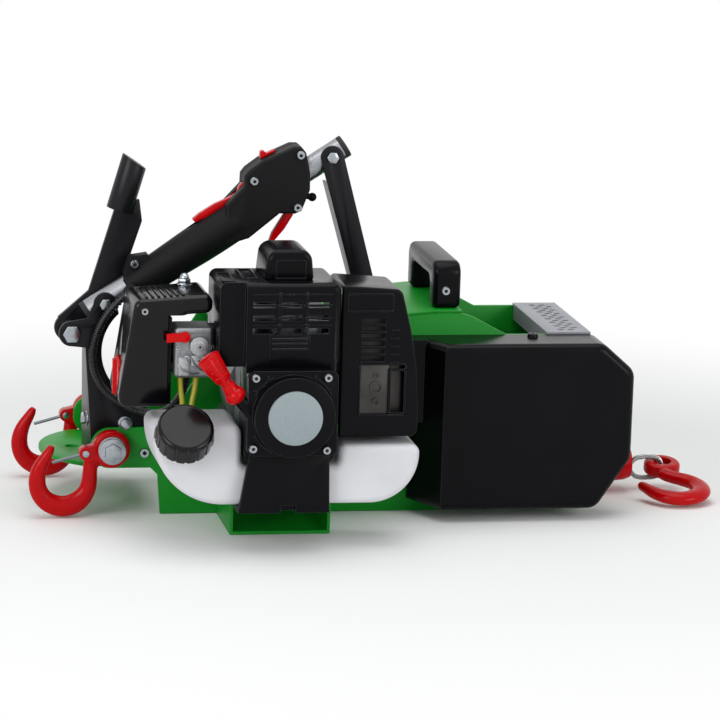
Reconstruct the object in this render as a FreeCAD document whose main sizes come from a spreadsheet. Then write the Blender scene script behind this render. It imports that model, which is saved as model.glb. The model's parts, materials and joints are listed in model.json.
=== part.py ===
import FreeCAD, Part
import Sketcher
import math
import os
import re

# Portable petrol rope winch, in millimetres.
# X runs along the frame towards the rope outlet, Y from the engine side to the rear side, Z up.
# The origin is the centre of the frame's base, on the ground.

V = FreeCAD.Vector
doc = FreeCAD.newDocument("RopeWinch")
sheet = doc.addObject("Spreadsheet::Sheet", "Sizes")

SIZES = (
    # Frame
    ("clear_width", 142, "clear width between the side plates"),
    ("plate_thick", 4, "side plate thickness"),
    ("floor_thick", 3, "base plate thickness"),
    ("frame_half", 207, "half the length of the frame"),
    ("bay_top", 172, "height of the side plates beside the drum"),
    ("hump_top", 193, "height of the side plates under the carry handle"),
    ("hump_left", 54, "left end of the level stretch under the handle"),
    ("hump_right", 84, "right end of the level stretch under the handle"),
    ("hump_foot", 124, "where the curved edge meets the bay"),
    ("hump_round", 46, "radius of the curved edge"),
    ("shoulder_left", -150, "left end of the sloping edge"),
    ("shoulder_top", 172, "height of the sloping edge's left end"),
    ("neck_left", -187, "top edge over the left arm, middle point"),
    ("neck_top", 113, "its height"),
    ("arm_root", -214, "where the arm's top edge starts"),
    ("arm_end", -274, "left end of the arms"),
    ("arm_low", 45, "bottom of the arms"),
    ("arm_high", 84, "top of the arms"),
    ("arm_round", 18, "corner radius of the arms"),
    ("step_wide", 7, "chamfer below the arms"),
    ("base_left", -178, "left end of the base plate"),
    ("cover_sheet", 3, "top cover thickness"),
    ("cover_right", 80, "right end of the top cover"),
    ("end_thick", 4, "end plate thickness"),
    ("guard_thick", 2, "drum guard thickness"),
    ("guard_wide", 43, "drum guard width"),
    ("guard_lip", 14, "height of the guard's bent lip"),
    ("guard_hole", 3.3, "radius of the guard's holes"),
    ("guard_first", 16.5, "first column of holes from the guard's left edge"),
    ("guard_pitch", 5, "distance between the columns of holes"),
    ("tongue_thick", 4, "anchor tongue thickness"),
    ("tongue_tip", -315, "left end of the anchor tongue"),
    ("tongue_side", -278, "left end of its straight sides"),
    ("tongue_root", -205, "right end of the anchor tongue"),
    ("tongue_hole", 6.5, "radius of the anchor hole"),
    ("tongue_eye", -283, "place of the anchor hole"),
    ("foot_left", -153, "left side of the engine foot"),
    ("foot_wide", 95, "width of the engine foot"),
    ("foot_deep", 85, "how far the foot stands in front of the plate"),
    ("foot_tall", 31, "height of the foot's walls"),
    ("foot_wall", 3, "foot sheet thickness"),
    ("handle_wide", 27, "carry handle width"),
    ("handle_left", 53, "left side of the carry handle"),
    ("handle_front", -67, "front end of the carry handle"),
    ("handle_long", 128, "length of the carry handle"),
    ("handle_tall", 45, "height of the carry handle"),
    ("handle_leg", 23, "depth of its legs"),
    ("handle_bar", 18, "depth of its bar"),
    ("handle_round", 13, "its outer corner radius"),
    ("handle_inner", 7, "its inner corner radius"),
    # Transmission cover
    ("pan_deep", 52, "depth of the transmission cover"),
    ("pan_wall", 3, "its wall"),
    ("pan_left", 54, "left end of its front face"),
    ("pan_slope", 31, "left end of its sloping face"),
    ("pan_edge", 6, "depth of its left edge"),
    ("pan_right", 240, "its right end"),
    ("pan_low", 11, "its bottom"),
    ("pan_high", 172, "its top"),
    ("pan_cut_top", 31, "width of its upper right chamfer"),
    ("pan_cut_drop", 27, "height of its upper right chamfer"),
    ("pan_cut_low", 33, "width of its lower right chamfer"),
    ("pan_cut_rise", 49, "height of its lower right chamfer"),
    ("pan_round", 8, "radius along its front edges"),
    ("pan_corner", 15, "radius of its right corners"),
    ("arm_pan_left", -58, "left end of the belt arm"),
    ("arm_pan_low", 92, "bottom of the belt arm"),
    ("arm_pan_deep", 24, "depth of the belt arm"),
    # Drum and rope
    ("drum_x", 122, "drum axis along the frame"),
    ("drum_z", 84, "drum axis height"),
    ("drum_core", 47, "radius under the outer layer of rope"),
    ("drum_wall", 6, "wall under the rope"),
    ("drum_window", 9, "radius of the holes in the rear flange"),
    ("flange_radius", 70, "drum flange radius"),
    ("flange_thick", 4, "drum flange thickness"),
    ("drum_front", -44, "front face of the drum"),
    ("drum_long", 112, "length over the flanges"),
    ("shaft_radius", 10, "drum shaft radius"),
    ("bush_wall", 4, "wall of the bearing bushes"),
    ("bush_flange", 3, "flange of the bearing bushes"),
    ("running", 0.06, "running clearance on the radius"),
    ("rope_radius", 2.5, "wire rope radius"),
    ("rope_pitch", 5.5, "pitch of the turns"),
    ("rope_turns", 17, "turns in the outer layer"),
    ("guide_z", 27, "height of the rope guide"),
    ("guide_long", 64, "length of the rope guide"),
    ("guide_base", 22, "radius at the guide's base"),
    ("guide_mouth", 17, "radius at the guide's mouth"),
    ("guide_bore", 12, "radius of the guide's bore"),
    ("guide_flange", 4, "thickness of its flange"),
    ("guide_flange_half", 34, "half the width of its flange"),
    ("guide_flange_tall", 46, "height of its flange"),
    ("lead_start", 147, "where the straight run of rope starts"),
    ("lead_inset", 18, "from the guide's mouth back to where it enters the ferrule"),
    ("lead_high", 34, "height at its start"),
    ("eye_z", 22, "height of the rope eye"),
    ("eye_gap", 9, "from the guide's mouth to the centre of the eye's left bend"),
    ("eye_long", 13, "length of the eye's straight sides"),
    ("eye_round", 10, "radius of the eye's bends"),
    ("ferrule_radius", 6, "ferrule radius"),
    ("ferrule_out", 2, "how far the ferrule stands out of the guide"),
    # Gears and belt
    ("coarse", 2.5, "module of the drum gear pair"),
    ("fine", 2, "module of the second gear pair"),
    ("drum_teeth", 50, "teeth on the drum gear"),
    ("last_teeth", 12, "teeth on the second shaft's pinion"),
    ("second_teeth", 34, "teeth on the second gear"),
    ("first_teeth", 11, "teeth on the belt pulley's pinion"),
    ("backlash", 0.55, "gap between meshed flanks"),
    ("gear_wide", 12, "width of the drum gear"),
    ("mesh_angle", 38, "direction of the second shaft seen from the drum, degrees"),
    ("belt_small", 14, "belt radius on the clutch pulley"),
    ("belt_large", 32, "belt radius on the driven pulley"),
    ("belt_thick", 5, "belt thickness"),
    ("belt_wide", 9, "belt width"),
    ("belt_gap", 0.3, "gap between the belt and its grooves"),
    ("belt_front", -94, "front face of the belt"),
    ("rim", 2, "pulley rim thickness"),
    ("lay_radius", 6, "radius of the second shaft and the pulley shaft"),
    # Control bar
    ("bar_radius", 11, "handlebar tube radius"),
    ("bar_wall", 1.5, "its wall"),
    ("bar_low_x", -275.7, "lower end"),
    ("bar_low_z", 193.4, "lower end height"),
    ("bar_tilt", 33.33, "tilt, degrees"),
    ("bar_long", 283, "length"),
    ("cap_thick", 5, "end cap thickness"),
    ("bracket_thick", 4, "bracket sheet thickness"),
    ("bracket_flange", 3, "bracket flange thickness"),
    ("right_inset", 12.5, "from the tube's upper end to the right bolt"),
    ("left_bolt", 16, "place of the left bolt along the tube"),
    ("ear_radius", 11, "radius of the bracket ears"),
    ("right_foot", -17, "left side of the right bracket's foot"),
    ("right_wide", 20, "width of the right bracket"),
    ("grip_start", 42, "lower end of the throttle grip along the tube"),
    ("grip_short", 118, "from the upper end of the grip's round part to the tube's end"),
    ("grip_radius", 19, "largest radius of the throttle grip"),
    ("grip_drop", 3, "how far the grip's middle lies below the tube's"),
    ("head_reach", 283, "place of the tube's upper end that the head's outline is drawn from"),
    ("head_half", 17, "half the width of the control head"),
    ("trigger_thick", 8, "trigger width"),
    ("trigger_x", -86, "trigger pivot"),
    ("trigger_z", 296, "trigger pivot height"),
    ("lock_x", -128, "lock-out pivot"),
    ("lock_z", 312, "lock-out pivot height"),
    ("pin_radius", 2, "radius of the small pivot pins"),
    ("hub_radius", 5, "radius of the small pivot hubs"),
    ("lever_x", -293.5, "drum lever pivot"),
    ("lever_z", 174, "drum lever pivot height"),
    ("lever_thick", 6, "drum lever thickness"),
    ("lever_pin", 5, "radius of the drum lever's bolt"),
    ("lever_boss", 13, "radius of the drum lever's lower end"),
    ("lever_grip", 12.6, "radius of the drum lever's grip tube"),
    ("lever_gap", 4.2, "gap between the lever and the handlebar tube"),
    ("conduit_radius", 4, "throttle conduit radius over the ribs"),
    ("conduit_root", 3.2, "radius between its ribs"),
    ("conduit_bore", 2, "radius of its bore"),
    ("conduit_pitch", 2.6, "pitch of its ribs"),
    # Engine
    ("crank_x", -110.5, "crankshaft axis along the frame"),
    ("crank_z", 132, "crankshaft axis height"),
    ("post_radius", 7, "clutch housing post radius"),
    ("post_circle", 41, "circle of the posts"),
    ("bell_outside", 46, "clutch housing radius"),
    ("bell_inside", 41, "clutch housing bore"),
    ("clutch_front", -142, "front face of the clutch housing"),
    ("clutch_wall", 4, "its front wall"),
    ("drum_clutch", 37, "clutch bell radius"),
    ("drum_clutch_wall", 3, "clutch bell wall"),
    ("crank_radius", 8, "crankshaft radius"),
    ("case_half", 39, "half the width of the crankcase"),
    ("case_front", -192, "front face of the crankcase"),
    ("lug_wide", 50, "width of the lug under the crankcase"),
    ("lug_deep", 26, "depth of that lug"),
    ("lug_root", 8, "how far the lug runs up into the crankcase"),
    ("fin_count", 6, "cooling fins"),
    ("fin_thick", 3, "fin thickness"),
    ("fin_pitch", 9, "fin pitch"),
    ("fin_half", 35, "half the width of the fins"),
    ("barrel", 25, "cylinder radius"),
    ("fan_radius", 35.5, "flywheel radius"),
    ("fan_thick", 22, "flywheel thickness"),
    ("shroud_left", -176, "left side of the shroud"),
    ("shroud_right", -65, "right side of the shroud"),
    ("shroud_front", -225, "front face of the shroud"),
    ("shroud_top", 250, "top of the shroud"),
    ("shroud_wall", 3, "its wall"),
    ("wing_wide", 23.2, "width of its set-back left side"),
    ("wing_set", 9, "how far that side is set back"),
    ("shroud_low", 80, "its bottom"),
    ("fan_bore", 38, "radius of the fan chamber"),
    ("plug_top", 277, "top of the plug cover"),
    ("plug_half", 20, "half the width of the plug cover"),
    ("plug_front", -204, "front of the plug cover"),
    ("plug_deep", 62, "depth of the plug cover"),
    ("starter_half", 41.5, "half the width of the starter housing"),
    ("starter_deep", 15, "depth of its base"),
    ("starter_boss", 37, "radius of its boss"),
    ("boss_deep", 14, "depth of its boss"),
    ("disc_radius", 25, "radius of the starter disc"),
    ("disc_thick", 3, "thickness of the starter disc"),
    ("muffler_left", -58, "left side of the muffler"),
    ("muffler_wide", 59, "muffler width"),
    ("muffler_deep", 54, "muffler depth"),
    ("muffler_tall", 114, "muffler height"),
    ("muffler_low", 114, "muffler bottom"),
    ("heat_gap", 5, "air gap between muffler and guard"),
    ("heat_wall", 3, "muffler guard wall"),
    ("filter_left", -262, "left side of the filter cover"),
    ("filter_wide", 43, "filter cover width"),
    ("hood_right", -178, "right end of its hood"),
    ("hood_tall", 17, "height of its hood"),
    ("filter_front", -188, "front of the filter cover"),
    ("filter_deep", 72, "filter cover depth"),
    ("filter_low", 128, "filter cover bottom"),
    ("filter_tall", 105, "filter cover height"),
    ("filter_wall", 3, "filter cover wall"),
    ("filter_base", 4, "filter base thickness"),
    ("knob_radius", 19.5, "filter knob radius"),
    ("knob_deep", 3, "filter knob depth"),
    ("carb_wide", 36, "carburettor width"),
    ("carb_deep", 36, "carburettor depth"),
    ("carb_tall", 47, "carburettor height"),
    ("carb_low", 156, "carburettor bottom"),
    ("carb_front", -190, "front of the carburettor"),
    ("tank_left", -234.5, "left end of the fuel tank"),
    ("tank_right", 13, "right end of the fuel tank"),
    ("tank_front", -222, "front of the fuel tank"),
    ("tank_deep", 78, "depth of the fuel tank"),
    ("tank_low", 43.2, "bottom of the fuel tank"),
    ("tank_top", 79, "top of the fuel tank under the engine"),
    ("tank_shoulder", 118, "top of its left shoulder"),
    ("shoulder_right", -153.5, "right end of its left shoulder"),
    ("tank_end", 98, "top of its right end"),
    ("tank_end_left", -63, "left end of its raised right end"),
    ("tank_round", 7, "radius along the tank's edges"),
    ("tank_belly", 66, "radius of its lower left corner"),
    ("tank_toe", 46, "radius of its lower right corner"),
    ("neck_x", -207, "filler neck"),
    ("neck_y", -211, "filler neck"),
    ("neck_z", 98, "filler neck"),
    ("neck_radius", 19, "filler neck radius"),
    ("neck_long", 27.6, "filler neck length"),
    ("cap_radius", 26, "tank cap radius"),
    ("cap_tall", 22, "tank cap height"),
    ("cap_round", 4.5, "rounding of the cap's top edge"),
    ("cap_gap", 0.4, "gap between the cap and the neck"),
    ("block_left", -148, "left side of the tank guard"),
    ("block_wide", 74, "width of the tank guard"),
    ("block_thick", 5, "thickness of the tank guard"),
    ("block_flare", 9, "how far its left side leans out"),
    ("seat", 0.3, "gap beside loose pieces"),
    # Hooks
    ("hook_x", -256, "front and rear hook bolts"),
    ("hook_z", 66, "height of the hook bolts"),
    ("hook_thick", 13, "hook thickness"),
    ("hook_eye", 18, "hook eye radius"),
    ("hook_hole", 9, "hook eye hole radius"),
    ("bowl_x", -45.3, "bowl centre seen from the eye"),
    ("bowl_z", -33, "bowl centre seen from the eye"),
    ("washer", 1.5, "washer thickness"),
    ("bolt_head", 6, "bolt head height"),
    ("latch_thick", 1.6, "latch sheet thickness"),
    ("latch_wide", 7, "latch width"),
    ("rope_hook_turn", -88, "direction of the rope hook seen from above, degrees"),
    ("rope_hook_droop", 9.8, "how far the rope hook hangs, degrees"),
    ("screw_radius", 4, "screw head radius"),
    ("screw_head", 2.5, "screw head height"),
)
NAMES = {alias for alias, amount, note in SIZES}
for row, (alias, amount, note) in enumerate(SIZES, start=1):
    sheet.set(f"A{row}", alias)
    sheet.set(f"B{row}", str(amount))
    sheet.set(f"C{row}", note)
    sheet.setAlias(f"B{row}", alias)
doc.recompute()

subparts = []


def formula(text):
    """Turns plain names of sizes into references to the sheet."""
    return re.sub(r"[a-z][a-z_0-9]*",
                  lambda word: "Sizes." + word.group() if word.group() in NAMES else word.group(),
                  str(text))


def size(text):
    """The present value of a formula in names of sizes."""
    return float(sheet.evalExpression(formula(text)))


def bind(thing, **formulas):
    """Binds properties, written with __ for a dot, to formulas."""
    for name, text in formulas.items():
        thing.setExpression(name.replace("__", "."), formula(text))
    return thing


def keep(thing, label):
    """Names a finished sub-part."""
    thing.Label = label
    subparts.append(thing)
    return thing


def origin_plane(body, role):
    return [feature for feature in body.Origin.OriginFeatures if feature.Role == role][0]


def sketch_loop(sketch, corners, first):
    """Adds one closed loop of lines whose corners are bound to formulas."""
    points = [V(size(across), size(up), 0) for across, up in corners]
    count = len(points)
    for index in range(count):
        sketch.addGeometry(Part.LineSegment(points[index], points[(index + 1) % count]), False)
    for index in range(count):
        sketch.addConstraint(Sketcher.Constraint("Coincident", first + index, 2,
                                                 first + (index + 1) % count, 1))
    for index, (across, up) in enumerate(corners):
        for kind, text, place in (("DistanceX", across, points[index].x),
                                  ("DistanceY", up, points[index].y)):
            number = sketch.addConstraint(Sketcher.Constraint(kind, -1, 1, first + index, 1, place))
            sketch.setExpression(f"Constraints[{number}]", formula(text))
    return first + count


PLANES = {"XZ": ("XZ_Plane", "y", V(0, 1, 0)), "XY": ("XY_Plane", "z", V(0, 0, 1)),
          "YZ": ("YZ_Plane", "x", V(1, 0, 0))}


def sheet_body(name, plane, loops, start, length, rounds=()):
    """A padded outline. XZ outlines grow towards the front from start, XY upwards, YZ to the right.
    rounds holds (across, up, radius) for each corner that is rounded."""
    role, letter, normal = PLANES[plane]
    body = doc.addObject("PartDesign::Body", name)
    sketch = body.newObject("Sketcher::SketchObject", name + "_outline")
    sketch.AttachmentSupport = [(origin_plane(body, role), "")]
    sketch.MapMode = "FlatFace"
    used = 0
    for corners in loops:
        used = sketch_loop(sketch, corners, used)
    pad = body.newObject("PartDesign::Pad", name + "_pad")
    pad.Profile = sketch
    bind(pad, Length=length)
    body.setExpression(f"Placement.Base.{letter}", formula(start))
    doc.recompute()
    base = pad
    for across, up, radius in rounds:
        at = (size(across), size(up))
        edges = []
        for number, edge in enumerate(base.Shape.Edges, start=1):
            middle = edge.CenterOfMass
            flat = {"XZ": (middle.x, middle.z), "XY": (middle.x, middle.y),
                    "YZ": (middle.y, middle.z)}[plane]
            along = edge.Vertexes[-1].Point - edge.Vertexes[0].Point
            if math.dist(flat, at) < 1e-3 and along.cross(normal).Length < 1e-6:
                edges.append(f"Edge{number}")
        rounded = body.newObject("PartDesign::Fillet", f"{name}_round")
        rounded.Base = (base, edges)
        bind(rounded, Radius=radius)
        doc.recompute()
        base = rounded
    body.Tip = base
    return body


def turned_body(name, profile, x, z, placement=None):
    """A turned piece: profile holds (radius, distance along Y); the axis runs along Y through x, z."""
    body = doc.addObject("PartDesign::Body", name)
    sketch = body.newObject("Sketcher::SketchObject", name + "_profile")
    sketch.AttachmentSupport = [(origin_plane(body, "XY_Plane"), "")]
    sketch.MapMode = "FlatFace"
    sketch_loop(sketch, profile, 0)
    turn = body.newObject("PartDesign::Revolution", name + "_turn")
    turn.Profile = sketch
    turn.ReferenceAxis = (sketch, ["V_Axis"])
    turn.Angle = 360
    if placement is None:
        bind(body, Placement__Base__x=x, Placement__Base__z=z)
    else:
        body.Placement = placement
    return body


TURNS = {"X": FreeCAD.Rotation(V(0, 1, 0), 90), "Y": FreeCAD.Rotation(V(1, 0, 0), -90),
         "Z": FreeCAD.Rotation()}


def rod(name, axis, at, radius, length):
    """A round bar from at, along +X, +Y or +Z."""
    thing = doc.addObject("Part::Cylinder", name)
    thing.Placement = FreeCAD.Placement(V(), TURNS[axis])
    return bind(thing, Radius=radius, Height=length, Placement__Base__x=at[0], Placement__Base__y=at[1],
                Placement__Base__z=at[2])


def block(name, low, high):
    """A box between two corners."""
    thing = doc.addObject("Part::Box", name)
    return bind(thing, Length=f"({high[0]}) - ({low[0]})", Width=f"({high[1]}) - ({low[1]})",
                Height=f"({high[2]}) - ({low[2]})", Placement__Base__x=low[0], Placement__Base__y=low[1],
                Placement__Base__z=low[2])


def joined(name, pieces):
    thing = doc.addObject("Part::MultiFuse", name)
    thing.Shapes = pieces
    return thing


def minus(name, base, tools):
    thing = doc.addObject("Part::Cut", name)
    thing.Base = base
    thing.Tool = tools[0] if len(tools) == 1 else joined(name + "_tools", tools)
    return thing


def set_shape(name, shape):
    """A piece with a shape of its own."""
    thing = doc.addObject("Part::Feature", name)
    thing.Shape = shape
    return thing


def soft_box(low, high, radius):
    """A box shape with all its edges rounded."""
    box = Part.makeBox(*(top - bottom for bottom, top in zip(low, high)), V(*low))
    return box.makeFillet(radius, box.Edges)


def side_face(points, y):
    """A face in the XZ plane at y, with straight sides."""
    edges = []
    count = len(points)
    for index in range(count):
        here = V(points[index][0], y, points[index][1])
        there = V(points[(index + 1) % count][0], y, points[(index + 1) % count][1])
        edges.append(Part.LineSegment(here, there).toShape())
    return Part.Face(Part.Wire(edges))


def side_solid(points, front, rear):
    """An outline in X and Z, solid from front to rear."""
    return side_face(points, front).extrude(V(0, rear - front, 0))


def rounded_solid(corners, front, rear, soft=0):
    """An outline of x, z and corner radius, solid from front to rear; soft rounds both rims."""
    runs = []
    count = len(corners)
    for index, (x, z, radius) in enumerate(corners):
        corner = V(x, front, z)
        back = V(corners[index - 1][0] - x, 0, corners[index - 1][1] - z)
        ahead = V(corners[(index + 1) % count][0] - x, 0, corners[(index + 1) % count][1] - z)
        back.normalize()
        ahead.normalize()
        turn = math.pi - back.getAngle(ahead)
        reach = radius * math.tan(turn / 2)
        inward = back + ahead
        inward.normalize()
        bulge = corner + inward * (radius / math.cos(turn / 2) - radius)
        runs.append((corner + back * reach, bulge, corner + ahead * reach))
    edges = []
    for index, (enter, bulge, leave) in enumerate(runs):
        if (leave - enter).Length > 1e-6:
            edges.append(Part.Arc(enter, bulge, leave).toShape())
        following = runs[(index + 1) % count][0]
        if (following - leave).Length > 1e-6:
            edges.append(Part.LineSegment(leave, following).toShape())
    solid = Part.Face(Part.Wire(edges)).extrude(V(0, rear - front, 0))
    if soft:
        solid = solid.makeFillet(soft, [edge for edge in solid.Edges if edge.BoundBox.YLength < 0.01])
    return solid


def inset(corners, by):
    """The same outline moved inwards; its corners run anticlockwise seen from the front."""
    moved = []
    count = len(corners)
    for index, (x, z, radius) in enumerate(corners):
        before, after = corners[index - 1], corners[(index + 1) % count]
        arriving = math.atan2(z - before[1], x - before[0])
        leaving = math.atan2(after[1] - z, after[0] - x)
        turn = math.sin(leaving - arriving)
        share = by / (1 + math.cos(leaving - arriving))
        moved.append((x - share * (math.sin(arriving) + math.sin(leaving)),
                      z + share * (math.cos(arriving) + math.cos(leaving)),
                      max(0.5, radius - by) if turn > 0 else radius + by))
    return moved


def round_y(x, z, radius, front, rear):
    return Part.makeCylinder(radius, rear - front, V(x, front, z), V(0, 1, 0))


def rounded_path(points):
    """Straight runs joined by tangent arcs, each as large as its two runs allow."""
    edges = []
    start = points[0]
    radii = []
    for before, corner, after in zip(points, points[1:], points[2:]):
        back, ahead = (before - corner), (after - corner)
        shorter = min(back.Length, ahead.Length)
        turn = math.pi - back.getAngle(ahead)
        reach = 0.45 * shorter
        radii.append(reach / math.tan(turn / 2))
        back.normalize()
        ahead.normalize()
        enter, leave = corner + back * reach, corner + ahead * reach
        inward = back + ahead
        inward.normalize()
        depth = math.hypot(radii[-1], reach) - radii[-1]
        edges.append(Part.LineSegment(start, enter).toShape())
        edges.append(Part.Arc(enter, corner + inward * depth, leave).toShape())
        start = leave
    edges.append(Part.LineSegment(start, points[-1]).toShape())
    return Part.Wire(edges), radii


def tube_along(wire, radius):
    """A round tube along a wire."""
    first = wire.Edges[0]
    start = first.valueAt(first.FirstParameter)
    ring = Part.Wire(Part.makeCircle(radius, start, first.tangentAt(first.FirstParameter)))
    return wire.makePipeShell([ring], True, False)


# Places that several pieces share
inner = "clear_width / 2"
outer = "clear_width / 2 + plate_thick"
front_y = -size(outer)

# Drive layout: the second shaft sits beside the drum, the belt pulley beside the second shaft
drum_distance = "coarse * (drum_teeth + last_teeth) / 2"
second_x = f"drum_x + {drum_distance} * cos(mesh_angle * 1deg)"
second_z = f"drum_z + {drum_distance} * sin(mesh_angle * 1deg)"
pulley_distance = "fine * (second_teeth + first_teeth) / 2"
pulley_x = f"{second_x} - {pulley_distance}"
pulley_z = second_z

# Side plates: laser-cut sheet with an arm for a hook at the left end
plate_outline = [
    ("frame_half", "0"), ("frame_half", "bay_top"), ("hump_foot", "bay_top"),
    ("hump_right", "hump_top"), ("hump_left", "hump_top"), ("shoulder_left", "shoulder_top"),
    ("neck_left", "neck_top"), ("arm_root", "arm_high"), ("arm_end", "arm_high"), ("arm_end", "arm_low"),
    ("-frame_half - step_wide - 3", "arm_low"), ("-frame_half - 3", "arm_low - step_wide"),
]
plate_rounds = [("arm_end", "arm_high", "arm_round"), ("arm_end", "arm_low", "arm_round"),
                ("hump_right", "hump_top", "hump_round")]
bush_radius = "shaft_radius + running + bush_wall"
lay_bush = "lay_radius + running + bush_wall / 2"
plate_holes = {
    "front": [("drum_x", "drum_z", bush_radius), (second_x, second_z, lay_bush),
              (pulley_x, pulley_z, lay_bush),
              ("crank_x", "crank_z", lay_bush), ("hook_x", "hook_z", "hook_hole - running - 0.4")],
    "rear": [("drum_x", "drum_z", bush_radius), ("hook_x", "hook_z", "hook_hole - running - 0.4")],
}
for side, back, corner in (("front", f"-({inner})", "-frame_half"), ("rear", outer, "base_left + 8")):
    blank = sheet_body(f"{side}_plate_blank", "XZ", [[(corner, "0")] + plate_outline], back,
                       "plate_thick", plate_rounds)
    drills = [rod(f"{side}_plate_hole_{number}", "Y", (x, f"({back}) - plate_thick - 1", z), radius,
                  "plate_thick + 2")
              for number, (x, z, radius) in enumerate(plate_holes[side])]
    keep(minus(f"{side}_plate_cut", blank, drills), f"{side}_plate")

# Base plate between the side plates
keep(block("base", ("base_left", f"-({inner})", "0"), ("frame_half", inner, "floor_thick")), "base_plate")

# Top cover: one bent sheet on the plates' top edges
slope = "(hump_top - shoulder_top) / (hump_left - shoulder_left)"
keep(sheet_body("top_sheet", "XZ", [[
    ("shoulder_left", "shoulder_top"), ("hump_left", "hump_top"), ("cover_right", "hump_top"),
    ("cover_right", "hump_top + cover_sheet"), ("hump_left", "hump_top + cover_sheet"),
    ("shoulder_left", "shoulder_top + cover_sheet")]], outer, f"2 * ({outer})"), "top_cover")

# End plate with the hole for the rope
end_blank = block("end_blank", ("frame_half - end_thick", f"-({inner})", "floor_thick"),
                  ("frame_half", inner, "bay_top"))
end_hole = rod("end_hole", "X", ("frame_half - end_thick - 1", "0", "guide_z"), "guide_bore",
               "end_thick + 2")
keep(minus("end_cut", end_blank, [end_hole]), "end_plate")

# Drum guard: perforated sheet with a bent lip
guard_left = "frame_half - guard_wide"
guard_sheet = block("guard_sheet", (guard_left, f"-({outer})", "bay_top"),
                    ("frame_half", outer, "bay_top + guard_thick"))
guard_lip = block("guard_edge", (guard_left, f"-({inner}) + 0.5", "bay_top - guard_lip"),
                  (f"{guard_left} + guard_thick", f"{inner} - 0.5", "bay_top"))
GUARD_COLUMNS, GUARD_ROWS = 4, 15
guard_holes = []
for column in range(GUARD_COLUMNS):
    for line in range(column % 2, GUARD_ROWS, 2):
        across = f"{guard_left} + guard_first + guard_pitch * {column}"
        along = f"({outer}) * {round((line + 0.5) * 2 / GUARD_ROWS - 1, 4) * 0.88:.4f}"
        guard_holes.append(rod(f"guard_hole_{column}_{line}", "Z", (across, along, "bay_top - 1"),
                               "guard_hole", "guard_thick + 2"))
keep(minus("guard_cut", joined("guard_bent", [guard_sheet, guard_lip]), guard_holes), "drum_guard")

# Anchor tongue: flat plate between the arms, with a round end and an anchor hole
half = size(inner)
tongue_low = size("arm_low + 1")
tip, side, root = size("tongue_tip"), size("tongue_side"), size("tongue_root")
tongue_edges = [Part.LineSegment(V(side, half, 0), V(root, half, 0)).toShape(),
                Part.LineSegment(V(root, half, 0), V(root, -half, 0)).toShape(),
                Part.LineSegment(V(root, -half, 0), V(side, -half, 0)).toShape(),
                Part.Arc(V(side, -half, 0), V(tip, 0, 0), V(side, half, 0)).toShape()]
tongue = Part.Face(Part.Wire(tongue_edges)).extrude(V(0, 0, size("tongue_thick")))
tongue.translate(V(0, 0, tongue_low))
tongue = tongue.cut(Part.makeCylinder(size("tongue_hole"), 40, V(size("tongue_eye"), 0, 20)))
keep(set_shape("tongue", tongue), "anchor_tongue")

# Engine foot: bent channel in front of the front plate
foot_right = "foot_left + foot_wide"
keep(sheet_body("foot", "XZ", [[
    ("foot_left", "0"), (foot_right, "0"), (foot_right, "foot_tall"),
    (f"{foot_right} - foot_wall", "foot_tall"),
    (f"{foot_right} - foot_wall", "foot_wall"), ("foot_left + foot_wall", "foot_wall"),
    ("foot_left + foot_wall", "foot_tall"), ("foot_left", "foot_tall")]], f"-({outer})", "foot_deep"),
    "engine_foot")

# Carry handle: moulded bridge handle along the depth
handle_seat = "hump_top + cover_sheet"
handle_rear = "handle_front + handle_long"
handle_top = f"{handle_seat} + handle_tall"
under = f"{handle_top} - handle_bar"
keep(sheet_body("handle", "YZ", [[
    ("handle_front", handle_seat), ("handle_front + handle_leg", handle_seat),
    ("handle_front + handle_leg", under),
    (f"{handle_rear} - handle_leg", under), (f"{handle_rear} - handle_leg", handle_seat),
    (handle_rear, handle_seat), (handle_rear, handle_top), ("handle_front", handle_top)]],
    "handle_left", "handle_wide", [
    ("handle_front", handle_top, "handle_round"), (handle_rear, handle_top, "handle_round"),
    ("handle_front + handle_leg", under, "handle_inner"), (f"{handle_rear} - handle_leg", under,
                                                           "handle_inner")]),
    "carry_handle")


# Transmission cover: a moulded pan with a shallow arm over the belt
def pan_solid(inset):
    """The cover's outside, or with its wall as inset the space inside it."""
    left, right, low, high = size("pan_slope"), size("pan_right"), size("pan_low"), size("pan_high")
    cut_x, cut_z = size("pan_cut_top"), size("pan_cut_drop")
    low_x, low_z = size("pan_cut_low"), size("pan_cut_rise")
    lean = inset * 0.4
    corner = size("pan_corner") - inset
    outline = [(left + inset, low + inset, 0), (right - low_x - lean, low + inset, corner),
               (right - inset, low + low_z + lean, corner), (right - inset, high - cut_z - lean, corner),
               (right - cut_x - lean, high - inset, corner), (left + inset, high - inset, 0)]
    face = front_y - size("pan_deep") + inset
    back = front_y + (1 if inset else 0)
    prism = rounded_solid(outline, face, back)
    plan = [V(left - 1, back, 0), V(left - 1, front_y - size("pan_edge") + inset, 0),
            V(left + inset, front_y - size("pan_edge") + inset, 0), V(size("pan_left") + inset, face, 0),
            V(right + 1, face, 0), V(right + 1, back, 0)]
    depth = Part.Face(Part.makePolygon(plan + plan[:1])).extrude(V(0, 0, high + 10))
    pan = prism.common(depth)
    if not inset:
        rims = [edge for edge in pan.Edges if edge.BoundBox.YMax < back - 0.01
                and not (edge.BoundBox.XMax < size("pan_left") + 0.01 and edge.BoundBox.YLength < 0.01)
                and edge.BoundBox.YMin < face + 0.01]
        pan = pan.makeFillet(size("pan_round"), rims)
    reach = front_y - size("arm_pan_deep") + inset
    arm_left, arm_low = size("arm_pan_left") - inset, size("arm_pan_low") + inset
    arm_right = left + 12 + 6 * inset
    arm = Part.makeBox(arm_right - arm_left, back - reach, high - inset - arm_low,
                       V(arm_left, reach, arm_low))
    return pan.fuse(arm)


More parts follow.
